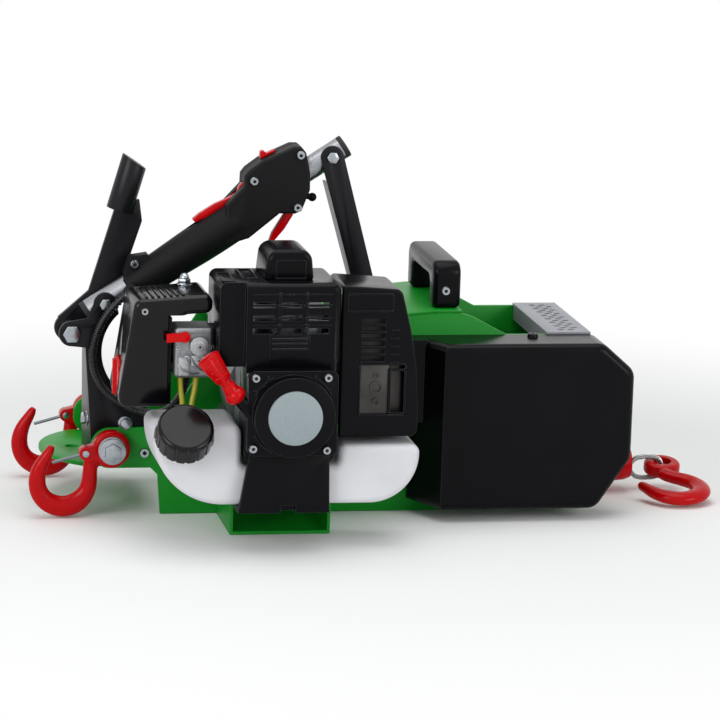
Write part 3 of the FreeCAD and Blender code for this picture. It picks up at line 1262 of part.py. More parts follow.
switch = side_solid([head_top(switch_left, 0.2), head_top(switch_right, 0.2), head_top(switch_right, 3),
                     head_top(switch_left + 6, 3), head_top(switch_left + 3, 7),
                     head_top(switch_left, 7)],
                    bar_y - 4, bar_y + 4)
stem = side_solid([head_top(switch_left + 5, 1), head_top(switch_left + 5, -4.5),
                   head_top(switch_left + 10, -4.5),
                   head_top(switch_left + 10, 1)], bar_y - 1.5, bar_y + 1.5)
keep(set_shape("switch", switch.fuse(stem).removeSplitter()), "stop_switch")

# Throttle conduit: ribbed sleeve from the grip down in front of the left bracket to the carburettor side
carb_right = size("shroud_left") - 1
carb_left = carb_right - size("carb_wide")
carb_front, carb_back = size("carb_front"), size("carb_front + carb_deep")
carb_low, carb_high = size("carb_low"), size("carb_low + carb_tall")
conduit_points = [V(x, y, z) for x, y, z in (
    CONDUIT_START, (-258, conduit_y, 200), (-269, conduit_y, 182), (-275, conduit_y, 162),
    (-274, conduit_y - 1, 142), (-266, conduit_y - 3, 125), (-253, conduit_y - 6, 113),
    (-236, conduit_y - 11, 105),
    (-219, conduit_y - 18, 102), (-208, -112, 107), (-196, -122, 124), (-191, -128, 148),
    (-190, -138, 168), (-190, carb_back, 168))]
conduit_wire, conduit_radii = rounded_path(conduit_points)
print("conduit radii", [round(radius, 1) for radius in conduit_radii], "length",
      round(conduit_wire.Length, 1))


def along_wire(wire, distance):
    """The point and heading at a distance along a wire."""
    for edge in wire.OrderedEdges:
        if distance <= edge.Length + 1e-6:
            at = edge.getParameterByLength(min(distance, edge.Length))
            return edge.valueAt(at), edge.tangentAt(at)
        distance -= edge.Length
    return edge.valueAt(edge.LastParameter), edge.tangentAt(edge.LastParameter)


def rings_along(wire, places):
    """Circles across a wire at (distance, radius), each turned as little as possible from the last."""
    rings = []
    steady = V(0, 1, 0)
    for distance, radius in places:
        point, heading = along_wire(wire, distance)
        steady = steady - heading * steady.dot(heading)
        steady.normalize()
        ring = Part.Wire(Part.makeCircle(radius))
        turn = FreeCAD.Rotation(steady, heading.cross(steady), heading, "XYZ")
        ring.Placement = FreeCAD.Placement(point, turn)
        rings.append(ring)
    return rings


conduit_long = conduit_wire.Length
ribs = int(conduit_long // size("conduit_pitch"))
step = conduit_long / ribs
root_radius, rib_radius = size("conduit_root"), size("conduit_radius")
rib_places = []
for rib in range(ribs):
    rib_places += [(rib * step, root_radius), ((rib + 0.25) * step, rib_radius),
                   ((rib + 0.6) * step, rib_radius),
                   ((rib + 0.85) * step, root_radius)]
rib_places.append((conduit_long, root_radius))
conduit = Part.makeLoft(rings_along(conduit_wire, rib_places), True, True)
bore_places = [(conduit_long * part / 60, size("conduit_bore")) for part in range(61)]
conduit = conduit.cut(Part.makeLoft(rings_along(conduit_wire, bore_places), True, True))
keep(set_shape("conduit", conduit), "throttle_conduit")

# Clutch housing: cast bell on four posts in front of the front plate
clutch_front = size("clutch_front")
clutch_back = pulley_front - 1
housing = round_y(crank_x, crank_z, size("bell_outside"), clutch_front, clutch_back)
housing = housing.cut(round_y(crank_x, crank_z, size("bell_inside"), clutch_front + size("clutch_wall"),
                              clutch_back + 1))
housing = housing.cut(round_y(crank_x, crank_z, size("crank_radius") + 2, clutch_front - 1,
                              clutch_front + 10))
POSTS = (40, 140, 220, 320)
for angle in POSTS:
    x = crank_x + size("post_circle + post_radius") * math.cos(math.radians(angle))
    z = crank_z + size("post_circle + post_radius") * math.sin(math.radians(angle))
    post = round_y(x, z, size("post_radius"), clutch_front, front_y)
    housing = housing.fuse(post.cut(round_y(crank_x, crank_z, size("bell_inside"), clutch_front,
                                            clutch_back)))
keep(set_shape("clutch_cast", housing.removeSplitter()), "clutch_housing")

# Crankcase with the crankshaft's bore
case_front, case_half = size("case_front"), size("case_half")
case = soft_box((crank_x - case_half, case_front, crank_z - case_half),
                (crank_x + case_half, clutch_front, crank_z + case_half), 6)
case = case.cut(round_y(crank_x, crank_z, size("crank_radius + running"), case_front - 1,
                        clutch_front + 1))
lug_wide, lug_deep = size("lug_wide"), size("lug_deep")
lug = Part.makeBox(lug_wide, lug_deep, crank_z - case_half + size("lug_root - tank_top"),
                   V(crank_x - lug_wide / 2, (case_front + clutch_front - lug_deep) / 2,
                     size("tank_top")))
keep(set_shape("case", case.fuse(lug).removeSplitter()), "crankcase")

# Finned cylinder on the crankcase
cylinder_y = (case_front + clutch_front) / 2
case_top = crank_z + case_half
barrel = Part.makeCylinder(size("barrel"), size("fin_count * fin_pitch") + 6,
                           V(crank_x, cylinder_y, case_top))
fin_half, fin_deep = size("fin_half"), 22
for number in range(int(size("fin_count"))):
    bottom = case_top + 4 + number * size("fin_pitch")
    barrel = barrel.fuse(Part.makeBox(2 * fin_half, 2 * fin_deep, size("fin_thick"),
                                      V(crank_x - fin_half, cylinder_y - fin_deep, bottom)))
cylinder_top = case_top + size("fin_count * fin_pitch") + 6
barrel = barrel.cut(Part.makeCylinder(5, 20, V(crank_x, cylinder_y, cylinder_top - 14)))
keep(set_shape("finned", barrel), "cylinder")
plug = Part.makeCylinder(4.9, 14, V(crank_x, cylinder_y, cylinder_top - 14))
plug = plug.fuse([Part.makeCylinder(8, 8, V(crank_x, cylinder_y, cylinder_top)),
                  Part.makeCylinder(4.5, 20, V(crank_x, cylinder_y, cylinder_top + 8))])
keep(set_shape("plug", plug), "spark_plug")

# Crankshaft with the clutch shoes, and the flywheel fan on its front end
fan_back = case_front - 2.5
fan_front = fan_back - size("fan_thick")
crank = round_y(crank_x, crank_z, size("crank_radius"), fan_front - 3, cup_back - cup_wall - 4)
crank = crank.fuse(round_y(crank_x, crank_z, size("drum_clutch - drum_clutch_wall") - 2, cup_front + 4,
                           cup_back - cup_wall - 8))
keep(set_shape("crank", crank.removeSplitter()), "crankshaft")
fan = round_y(crank_x, crank_z, size("fan_radius") - 12, fan_front, fan_back)
BLADES = 12
for number in range(BLADES):
    blade = Part.makeBox(16, size("fan_thick") - 6, 2.5, V(size("fan_radius") - 16, fan_front, -1.25))
    blade.rotate(V(), V(0, 1, 0), 360 * number / BLADES)
    blade.translate(V(crank_x, 0, crank_z))
    fan = fan.fuse(blade)
fan = fan.fuse(round_y(crank_x, crank_z, size("fan_radius"), fan_back - 6, fan_back))
fan = fan.cut(round_y(crank_x, crank_z, size("crank_radius"), fan_front - 5, fan_back + 5))
keep(set_shape("fan", fan.removeSplitter()), "flywheel")

# Shroud: moulded cowl over the cylinder with the fan chamber below it
left, right = size("shroud_left"), size("shroud_right")
front, top, wall = size("shroud_front"), size("shroud_top"), size("shroud_wall")
shroud_back = clutch_front - 2
fan_bore = size("fan_bore")
wing, wing_set = size("wing_wide"), size("wing_set")
starter_half = size("starter_half")
cowl = soft_box((left, front, case_top + 1), (right, shroud_back + 20, top), 7)
cowl = cowl.cut(Part.makeBox(200, 60, 200, V(left - 20, shroud_back, case_top - 20)))
cowl = cowl.cut(Part.makeBox(wing + 1, wing_set + 1, top, V(left - 1, front - 1, case_top - 20)))
cowl = cowl.cut(Part.makeBox(right - left - 2 * wall, shroud_back - front - wing_set,
                             top - case_top - wall,
                             V(left + wall, front + wing_set + wall, case_top - 1)))
cowl = cowl.cut(Part.makeBox(right - left - wing - 2 * wall, shroud_back - front, top - case_top - wall,
                             V(left + wing + wall, front + wall, case_top - 1)))
chamber_back = case_front
chamber = Part.makeBox(2 * starter_half, chamber_back - front, case_top + 10 - size("shroud_low"),
                       V(crank_x - starter_half, front, size("shroud_low")))
upright = [edge for edge in chamber.Edges if edge.BoundBox.YLength > 1 and edge.BoundBox.ZMax < case_top]
chamber = chamber.makeFillet(12, upright)
inside = Part.makeBox(2 * (starter_half - wall), shroud_back - front, 46,
                      V(crank_x - starter_half + wall, front + wall, case_top - 7))
fan_room = round_y(crank_x, crank_z, fan_bore, front - 1, chamber_back + 1)
port_z = case_top + 22
intake_hole = Part.makeBox(20, 22, 18, V(left - 5, cylinder_y - 11, size("carb_low + carb_tall") - 19))
exhaust_hole = Part.makeBox(20, 28, 22, V(right - 15, cylinder_y - 14, port_z - 1))
shroud = cowl.fuse(chamber).cut(inside).cut(fan_room).cut(intake_hole).cut(exhaust_hole)
for level in range(3):
    for column in range(3):
        shroud = shroud.cut(Part.makeBox(20, 10, 5, V(left + wing + 6 + column * 25, front - 1,
                                                      top - 46 + level * 12)))
plug_half, plug_front, plug_back = size("plug_half"), size("plug_front"), size("plug_front + plug_deep")
plug_base, plug_top = top, size("plug_top")
shroud = shroud.cut(Part.makeBox(2 * plug_half - 10, plug_back - plug_front - 10, 20,
                                 V(crank_x - plug_half + 5, plug_front + 5, top - 10)))
keep(set_shape("cowl", shroud.removeSplitter()), "engine_shroud")
plug_rear = min(plug_back, shroud_back)
plug_outline = [(crank_x - plug_half - 4, plug_base - 12, 6),
                (crank_x + plug_half + 4, plug_base - 12, 6),
                (crank_x + plug_half, plug_top, 11), (crank_x - plug_half, plug_top, 11)]
plug_cover = rounded_solid(plug_outline, plug_front, plug_rear, 5)
plug_cover = plug_cover.cut(Part.makeBox(100, 100, 30, V(crank_x - 50, plug_front - 5, plug_base - 30)))
plug_cover = plug_cover.cut(rounded_solid(inset(plug_outline, 3), plug_front + 3, plug_rear - 3, 2))
keep(set_shape("plug_cap", plug_cover), "plug_cover")

# Starter housing, its disc and its pull grip
starter_back = front
starter_front = starter_back - size("starter_deep")
boss_front = starter_front - size("boss_deep")
housing = Part.makeBox(2 * starter_half, size("starter_deep"), 2 * starter_half - 4,
                       V(crank_x - starter_half, starter_front, crank_z - starter_half + 3))
upright = [edge for edge in housing.Edges if edge.BoundBox.YLength > 1]
housing = housing.makeFillet(7, upright)
housing = housing.fuse(round_y(crank_x, crank_z, size("starter_boss"), boss_front, starter_back))
housing = housing.cut(round_y(crank_x, crank_z, size("starter_boss") - 4, boss_front + 4,
                              starter_back + 1))
housing = housing.fuse(round_y(crank_x, crank_z, 5, boss_front + 2, starter_back - 3))
pull_low, pull_high = V(-164, 0, 152), V(-194, 0, 190)
pull_way = pull_high - pull_low
pull_long = pull_way.Length
pull_way.normalize()
pull_at = V(pull_low.x, starter_front + 5, pull_low.z)
outlet = Part.makeCylinder(6, 25, pull_at - pull_way * 25.2, pull_way)
keep(set_shape("recoil", housing.fuse(outlet).removeSplitter()), "starter_housing")
keep(set_shape("disc", round_y(crank_x, crank_z, size("disc_radius"), boss_front - size("disc_thick"),
                               boss_front)), "starter_disc")
pull = Part.makeCone(9.5, 6.5, 10, pull_at, pull_way)
pull = pull.fuse([Part.makeCone(6.5, 10, pull_long - 18, pull_at + pull_way * 10, pull_way),
                  Part.makeCylinder(10, 8, pull_at + pull_way * (pull_long - 8), pull_way)])
keep(set_shape("pull", pull.removeSplitter()), "starter_grip")

# Muffler and its louvred guard
muffler_left, muffler_right = size("muffler_left"), size("muffler_left + muffler_wide")
muffler_low, muffler_high = size("muffler_low"), size("muffler_low + muffler_tall")
muffler_back = clutch_front - 6
muffler_front = muffler_back - size("muffler_deep")
muffler_can = [(muffler_left, muffler_low, 8), (muffler_right, muffler_low, 8),
               (muffler_right, muffler_low + 46, 30),
               (muffler_right - 8, muffler_low + 91, 30), (muffler_right - 15, muffler_high - 2, 8),
               (muffler_left, muffler_high, 8)]
muffler = rounded_solid(muffler_can, muffler_front, muffler_back, 6)
muffler = muffler.fuse(Part.makeBox(muffler_left + 4 - crank_x - fin_half, 26, 20,
                                    V(crank_x + fin_half, cylinder_y - 13, port_z)))
outlet_x, outlet_z = muffler_left + 29, muffler_low + 37
muffler = muffler.fuse(round_y(outlet_x, outlet_z, 6, muffler_front - 6, muffler_front + 2))
muffler = muffler.cut(rounded_solid(inset(muffler_can, 2), muffler_front + 2, muffler_back - 2, 4))
muffler = muffler.cut(round_y(outlet_x, outlet_z, 4, muffler_front - 7, muffler_front + 6))
gap, heat = size("heat_gap"), size("heat_wall")
for z in (muffler_low + 26, muffler_low + 86):
    boss = round_y(muffler_left + 8, z, 3.5, muffler_front - gap - heat, muffler_front + 1)
    muffler = muffler.fuse(boss)
guard_front = muffler_front - gap - 2 * heat
heat_outline = [(muffler_left - 5, muffler_low - 9.5, 3), (muffler_right + 10.5, muffler_low - 9.5, 7),
                (muffler_right + 10.5, muffler_low + 16, 30),
                (muffler_right + 8.2, muffler_low + 54.6, 60),
                (muffler_right + 1.3, muffler_low + 91.7, 60), (muffler_right - 8, muffler_high + 14, 8),
                (muffler_left - 5, muffler_high + 18, 4)]
outside = rounded_solid(heat_outline, guard_front, muffler_back + 12, 2.5)
outside = outside.cut(Part.makeBox(200, 60, 300, V(muffler_left - 50, muffler_back, 50)))
heat_inside = inset(heat_outline, heat)
heat_inside[0] = (heat_inside[0][0] - 40, heat_inside[0][1] - 40, 0)
heat_inside[1] = (heat_inside[1][0], heat_inside[1][1] - 40, 0)
heat_inside[-1] = (heat_inside[-1][0] - 40, heat_inside[-1][1] + 2, 0)
guard = outside.cut(rounded_solid(heat_inside, guard_front + heat, muffler_back + 20))
window_left, window_low = muffler_left + 14, muffler_low + 12
guard = guard.cut(Part.makeBox(42, 20, 46, V(window_left, guard_front - 5, window_low)))
SLATS = 6
for level in range(SLATS):
    guard = guard.cut(Part.makeBox(22, 20, 4, V(window_left, guard_front - 5,
                                                window_low + 50 + level * 7)))
keep(set_shape("muffler_can", muffler.removeSplitter()), "muffler")
keep(set_shape("heat_guard", guard.removeSplitter()), "muffler_guard")

# Carburettor, filter base, filter cover and its knob
carb = soft_box((carb_left, carb_front, carb_low), (carb_right, carb_back, carb_high), 4)
intake_end = crank_x - fin_half
carb = carb.fuse(Part.makeBox(intake_end - carb_right + 4, 20, 16,
                              V(carb_right - 4, cylinder_y - 10, carb_high - 18)))
filter_left, filter_right = size("filter_left"), size("filter_left + filter_wide")
filter_front, filter_back = size("filter_front"), size("filter_front + filter_deep")
filter_low, filter_high = size("filter_low"), size("filter_low + filter_tall")
base_right = filter_right + size("filter_base")
carb = carb.fuse(round_y(carb_left + 22, carb_high - 16, 9, carb_front - 6, carb_front + 2))
choke_x, choke_z = carb_left + 9, carb_high - 8
choke_front = carb_front - 4.5
choke_pin = 1.9
carb = carb.cut(round_y(choke_x, choke_z, choke_pin + size("running"), carb_front - 1, carb_front + 8))
keep(set_shape("carb_body", carb.removeSplitter()), "carburettor")
base = Part.makeBox(size("filter_base"), size("filter_deep") - 4,
                    filter_high - size("hood_tall") - filter_low - 7,
                    V(filter_right, filter_front + 2, filter_low + 3))
snorkel = Part.makeCylinder(11, carb_left - base_right + 1, V(base_right - 1,
                                                              (carb_front + carb_back) / 2,
                                                              carb_low + 22),
                            V(1, 0, 0))
keep(set_shape("filter_plate", base.fuse(snorkel).removeSplitter()), "filter_base")
filter_wall = size("filter_wall")
hood_right, hood_low = size("hood_right"), filter_high - size("hood_tall")
cover = rounded_solid([(filter_left, filter_low, 7), (filter_right + 14, filter_low + 1, 7),
                       (filter_right + 14, hood_low - 2, 5), (hood_right, hood_low, 6.5),
                       (hood_right, filter_high, 7),
                       (filter_left + 12.5, filter_high - 5, 8), (filter_left - 1, filter_low + 12, 6)],
                      filter_front, filter_back, 5)
cover = cover.cut(Part.makeBox(60, 200, 200, V(filter_right, filter_front - 50, hood_low - 202)))
cover = cover.cut(side_solid([
    (filter_left + 7.5, filter_low + filter_wall), (filter_right + 9, filter_low + filter_wall),
    (filter_right + 9, hood_low - 3), (filter_right - 3, hood_low - 3),
    (filter_right - 3, filter_high - 7),
    (filter_left + 18.5, filter_high - 8), (filter_left + 15, filter_high - 12),
    (filter_left + 7.5, filter_low + 48)],
    filter_front + filter_wall, filter_back - filter_wall))
cover = cover.cut(Part.makeBox(hood_right - filter_right, size("filter_deep") - 2 * filter_wall,
                               filter_high - hood_low - 4, V(filter_right - filter_wall,
                                                             filter_front + filter_wall,
                                                             hood_low - 3)))
knob_y, knob_z = (filter_front + filter_back) / 2 + 4, filter_low + 22
stem = 4
knob_face = filter_left + 4
x_way = V(1, 0, 0)
cover = cover.cut(Part.makeCylinder(size("knob_radius") + 0.8, 10, V(knob_face - 10, knob_y, knob_z),
                                    x_way))
cover = cover.cut(Part.makeCylinder(stem + size("running"), 20, V(knob_face - 5, knob_y, knob_z), x_way))
keep(set_shape("filter_shell", cover), "filter_cover")
knob_deep, knob_radius = size("knob_deep"), size("knob_radius")
knob_back = knob_face - size("seat")
knob = Part.makeCylinder(knob_radius, knob_deep, V(knob_back - knob_deep, knob_y, knob_z), x_way)
knob = knob.fuse([Part.makeCylinder(stem, 14, V(knob_back, knob_y, knob_z), x_way),
                  Part.makeBox(4, 6, 2 * knob_radius - 6, V(knob_back - knob_deep - 3, knob_y - 3,
                                                            knob_z - knob_radius + 3))])
keep(set_shape("knob", knob.removeSplitter()), "filter_knob")

# Choke lever on the carburettor's front
choke = round_y(choke_x, choke_z, 5, choke_front, choke_front + 4)
choke = choke.fuse(side_solid([(choke_x, choke_z + 4), (choke_x, choke_z - 4),
                               (choke_x - 17, choke_z - 5),
                               (choke_x - 17, choke_z + 3)], choke_front, choke_front + 4))
choke = choke.fuse(round_y(choke_x, choke_z, choke_pin, choke_front + 3, carb_front + 7))
keep(set_shape("choke", choke.removeSplitter()), "choke_lever")

# Fuel tank: blown plastic tank under the engine with a raised left shoulder and a filler neck
tank_left, tank_right = size("tank_left"), size("tank_right")
tank_front, tank_back = size("tank_front"), size("tank_front + tank_deep")
tank_low, tank_round = size("tank_low"), size("tank_round")
tank_top, tank_shoulder, tank_end = size("tank_top"), size("tank_shoulder"), size("tank_end")
shoulder_right, end_left = size("shoulder_right"), size("tank_end_left")
tank = rounded_solid([(tank_left, tank_low, size("tank_belly")), (tank_right, tank_low, size("tank_toe")),
                      (tank_right, tank_end, 8), (end_left, tank_end, 8), (end_left, tank_top, 7),
                      (shoulder_right, tank_top, 8), (shoulder_right, tank_shoulder, 9),
                      (tank_left, tank_shoulder, 8.5)],
                     tank_front, tank_back, tank_round)
neck_at = V(size("neck_x"), size("neck_y"), size("neck_z"))
neck_way = V(0, -math.sqrt(0.5), math.sqrt(0.5))
neck_long = size("neck_long")
cap_gap = size("cap_gap")
cap_top = neck_at + neck_way * (neck_long + cap_gap)
cap_tall = size("cap_tall")
cap_low = cap_top + neck_way * (4 - cap_tall)
tank = tank.cut(Part.makeCylinder(size("cap_radius") + 1.5, 60, cap_low - neck_way, neck_way))
tank = tank.fuse(Part.makeCylinder(size("neck_radius"), neck_long + 14, neck_at - neck_way * 14,
                                   neck_way))
keep(set_shape("tank", tank.removeSplitter()), "fuel_tank")

# Tank cap: ribbed cup over the neck
lid = Part.makeCylinder(size("cap_radius"), cap_tall, cap_low, neck_way)
cap_middle = cap_low + neck_way * cap_tall
cap_edges = [edge for edge in lid.Edges if edge.Closed and (edge.CenterOfMass - cap_middle).Length < 0.1]
lid = lid.makeFillet(size("cap_round"), cap_edges)
lid = lid.cut(Part.makeCylinder(size("neck_radius") + cap_gap, cap_tall - 4, cap_low, neck_way))
CAP_RIBS = 16
for number in range(CAP_RIBS):
    groove = Part.makeCylinder(1.6, cap_tall + 2, V(size("cap_radius") + 0.6, 0, -1))
    groove.rotate(V(), V(0, 0, 1), 360 * number / CAP_RIBS)
    groove.Placement = FreeCAD.Placement(cap_low, FreeCAD.Rotation(V(0, 0, 1),
                                                                   neck_way)).multiply(groove.Placement)
    lid = lid.cut(groove)
keep(set_shape("lid", lid), "tank_cap")

# Tank guard: black moulding that wraps the tank's front and underside below the starter
block_left, block_right = size("block_left"), size("block_left + block_wide")
block_thick = size("block_thick")
block_back = starter_back - 1
block_front = block_back - block_thick - 1
block_low = tank_low - block_thick
block_high = crank_z - starter_half + 3
block_flare = size("block_flare")
front_wall = side_solid([(block_left - block_flare, block_low), (block_right + 1.4, block_low),
                         (block_right, block_high),
                         (block_left, block_high)], block_front, block_back)
under_wall = Part.makeBox(block_right - block_left + block_flare + 1.4, tank_back - block_front - 10,
                          block_thick,
                          V(block_left - block_flare, block_front, block_low))
strap = front_wall.fuse(under_wall)
strap = strap.cut(Part.makeBox(14, 12, 8, V((block_left + block_right) / 2 - 7, block_front - 1,
                                            block_low - 1)))
keep(set_shape("strap", strap.removeSplitter()), "tank_guard")

# Fuel hoses from the tank's shoulder to the carburettor
hoses = []
hose_y = carb_front + 12
for low_x, high_x in ((carb_left + 10, carb_left + 7.5), (carb_left + 17, carb_left + 22)):
    hose_points = [V(low_x, hose_y - 6, tank_shoulder), V(low_x, hose_y - 6, tank_shoulder + 10),
                   V(high_x, hose_y, carb_low - 10), V(high_x, hose_y, carb_low)]
    wire, radii = rounded_path(hose_points)
    hoses.append(tube_along(wire, 2.5))
keep(set_shape("hoses", Part.makeCompound(hoses)), "fuel_hoses")

# Fasteners: hook bolts with washers, bracket bolts, the drum lever's bolt and the visible screws
fasteners = []


def hex_prism(x, z, across, front, rear):
    points = [(x + across / math.sqrt(3) * math.cos(math.radians(60 * corner)),
               z + across / math.sqrt(3) * math.sin(math.radians(60 * corner))) for corner in range(6)]
    return side_solid(points, front, rear)


hook_x, hook_z = size("hook_x"), size("hook_z")
shank_radius = size("hook_hole - running")
plate_way = size("hook_hole - running") - 0.45
washer, bolt_head = size("washer"), size("bolt_head")
for way in (-1, 1):
    near = way * size(f"{outer}")
    far = near + way * (size("hook_thick") + washer + 0.6)
    low_y, high_y = sorted((near, far))
    bolt = round_y(hook_x, hook_z, shank_radius, low_y, high_y)
    low_y, high_y = sorted((near, near + way * washer))
    bolt = bolt.fuse(round_y(hook_x, hook_z, 13, low_y, high_y))
    low_y, high_y = sorted((far, far + way * washer))
    bolt = bolt.fuse(round_y(hook_x, hook_z, 13, low_y, high_y))
    low_y, high_y = sorted((far + way * washer, far + way * (washer + bolt_head)))
    bolt = bolt.fuse(hex_prism(hook_x, hook_z, 19, low_y, high_y))
    inside = way * size(inner) if way > 0 else bracket_back
    low_y, high_y = sorted((inside, near))
    bolt = bolt.fuse(round_y(hook_x, hook_z, plate_way, low_y, high_y))
    low_y, high_y = sorted((inside, inside - way * bolt_head))
    bolt = bolt.fuse(hex_prism(hook_x, hook_z, 19, low_y, high_y))
    fasteners.append(bolt.removeSplitter())
for bolt in (right_bolt, left_bolt):
    stud = hex_prism(bolt.x, bolt.z, 10, bracket_front - BOLT_HEAD, bracket_front)
    stud = stud.fuse([round_y(bolt.x, bolt.z, bolt_radius, bracket_front - 1, bar_y + bar_radius + 1),
                      hex_prism(bolt.x, bolt.z, 10, bar_y + bar_radius, bar_y + bar_radius + 3)])
    fasteners.append(stud.removeSplitter())
lever_stud = hex_prism(lever_x, lever_z, 15, bracket_front - BOLT_HEAD, bracket_front)
lever_stud = lever_stud.fuse([round_y(lever_x, lever_z, size("lever_pin"), bracket_front,
                                      lever_back + 0.5),
                              round_y(lever_x, lever_z, 8, bracket_back, lever_front - 0.3),
                              hex_prism(lever_x, lever_z, 15, lever_back + 0.3, lever_back + 4.5)])
fasteners.append(lever_stud.removeSplitter())
head_height, head_radius = size("screw_head"), size("screw_radius")
screw_places = [(crank_x + dx, starter_front, crank_z + dz) for dx,
                dz in ((-35, 34.5), (31.5, 34.5), (32, -33), (-36, -31))]
screw_places += [(x, bar_y - head_half, z) for x,
                 z in with_head([(-124.3, 319.9), (-80.8, 344.6), (-82.4, 295)])]
screw_places.append((-234.5, bar_y - 7, 239.2))
for x, y, z in screw_places:
    fasteners.append(round_y(x, z, head_radius, y - head_height, y))
keep(set_shape("bolts", Part.makeCompound(fasteners)), "fasteners")

doc.recompute()
for thing in doc.Objects:
    if "Invalid" in thing.State or "Error" in thing.State:
        raise RuntimeError(f"{thing.Name} failed: {thing.State}")
for part in subparts:
    if part.Shape.isNull() or not part.Shape.isValid():
        raise RuntimeError(f"{part.Label} has no valid shape")
os.makedirs("parts", exist_ok=True)
for part in subparts:
    part.Shape.exportStep(f"parts/{part.Label}.step")
print(len(subparts), "sub-parts")
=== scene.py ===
import bmesh
import bpy
import json
import math
from mathutils import Matrix, Vector

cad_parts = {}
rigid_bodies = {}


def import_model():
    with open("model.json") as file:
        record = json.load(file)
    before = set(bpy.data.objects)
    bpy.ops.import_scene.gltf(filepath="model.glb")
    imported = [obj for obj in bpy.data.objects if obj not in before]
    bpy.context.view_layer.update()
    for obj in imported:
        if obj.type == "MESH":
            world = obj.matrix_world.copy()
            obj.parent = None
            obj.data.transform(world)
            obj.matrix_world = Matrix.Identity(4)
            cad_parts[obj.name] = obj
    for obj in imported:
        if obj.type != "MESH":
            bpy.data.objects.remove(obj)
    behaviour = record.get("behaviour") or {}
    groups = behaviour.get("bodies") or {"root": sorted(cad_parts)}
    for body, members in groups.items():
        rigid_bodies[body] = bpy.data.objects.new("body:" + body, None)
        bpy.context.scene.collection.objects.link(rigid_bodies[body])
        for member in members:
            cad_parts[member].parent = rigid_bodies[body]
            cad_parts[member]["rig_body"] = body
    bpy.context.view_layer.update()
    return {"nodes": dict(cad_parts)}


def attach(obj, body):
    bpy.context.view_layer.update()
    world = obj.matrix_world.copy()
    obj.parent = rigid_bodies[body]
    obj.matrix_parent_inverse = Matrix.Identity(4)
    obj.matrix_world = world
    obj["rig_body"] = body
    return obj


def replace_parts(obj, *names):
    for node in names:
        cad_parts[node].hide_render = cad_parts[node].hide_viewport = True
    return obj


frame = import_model()


# Studio: a pale paper floor that runs out of view, soft boxes above and at both sides,
# and a long lens a little above the winch and to its left, as in the photograph.
# The paper keeps the winch's shadow and fades to plain white away from it.
def linear(hex_colour):
    """An sRGB hex colour as linear RGBA."""
    channels = [int(hex_colour[at:at + 2], 16) / 255 for at in (0, 2, 4)]
    return [c / 12.92 if c <= 0.04045 else ((c + 0.055) / 1.055) ** 2.4 for c in channels] + [1.0]


def node(tree, kind, inputs=(), **properties):
    """Adds a node with its properties, its input values and its links from other sockets."""
    made = tree.nodes.new(kind)
    for name, value in properties.items():
        setattr(made, name, value)
    for name, value in dict(inputs).items():
        if isinstance(value, bpy.types.NodeSocket):
            tree.links.new(value, made.inputs[name])
        else:
            made.inputs[name].default_value = value
    return made


def material(name):
    """A new material with its node tree, its shader and its object coordinates."""
    made = bpy.data.materials.new(name)
    made.use_nodes = True
    tree = made.node_tree
    place = node(tree, "ShaderNodeTexCoord").outputs["Object"]
    return made, tree, tree.nodes["Principled BSDF"], place


def seen_plainly(tree):
    """A socket that is 1 where the background is seen straight, in a mirror or through glass."""
    rays = node(tree, "ShaderNodeLightPath")
    mirrored = node(tree, "ShaderNodeMath", {0: rays.outputs["Is Camera Ray"],
                                             1: rays.outputs["Is Glossy Ray"]}, operation="MAXIMUM")
    through = node(tree, "ShaderNodeMath", {0: mirrored.outputs[0],
                                            1: rays.outputs["Is Transmission Ray"]}, operation="MAXIMUM")
    return through.outputs[0]


paper, tree, shader, place = material("pale_paper")
shader.inputs["Base Color"].default_value = linear("f7f7f6")
shader.inputs["Roughness"].default_value = 0.9
fade_start, fade_end = 0.42, 0.95
reach = node(tree, "ShaderNodeVectorMath", {0: place}, operation="LENGTH")
far = node(tree, "ShaderNodeMapRange", {"Value": reach.outputs["Value"], "From Min": fade_start,
                                        "From Max": fade_end}, interpolation_type="SMOOTHSTEP")
share = node(tree, "ShaderNodeMath", {0: far.outputs[0], 1: seen_plainly(tree)}, operation="MULTIPLY")
white = node(tree, "ShaderNodeEmission", {"Color": linear("ffffff"), "Strength": 1.0})
mixed = node(tree, "ShaderNodeMixShader", {0: share.outputs[0], 1: shader.outputs[0],
                                           2: white.outputs[0]})
tree.links.new(mixed.outputs[0], tree.nodes["Material Output"].inputs["Surface"])
floor_half, floor_drop = 12, 0.0004
shape = bmesh.new()
bmesh.ops.create_grid(shape, x_segments=1, y_segments=1, size=floor_half)
mesh = bpy.data.meshes.new("floor")
shape.to_mesh(mesh)
shape.free()
floor = bpy.data.objects.new("floor", mesh)
floor.location.z = -floor_drop
mesh.materials.append(paper)
bpy.context.scene.collection.objects.link(floor)

world = bpy.data.worlds.new("studio")
world.use_nodes = True
bpy.context.scene.world = world
tree = world.node_tree
lit = tree.nodes["Background"]
lit.inputs["Color"].default_value = linear("eef1f4")
lit.inputs["Strength"].default_value = 0.42
seen = node(tree, "ShaderNodeBackground", {"Color": linear("ffffff"), "Strength": 1.0})
mixed = node(tree, "ShaderNodeMixShader", {0: seen_plainly(tree), 1: lit.outputs[0], 2: seen.outputs[0]})
tree.links.new(mixed.outputs[0], tree.nodes["World Output"].inputs["Surface"])

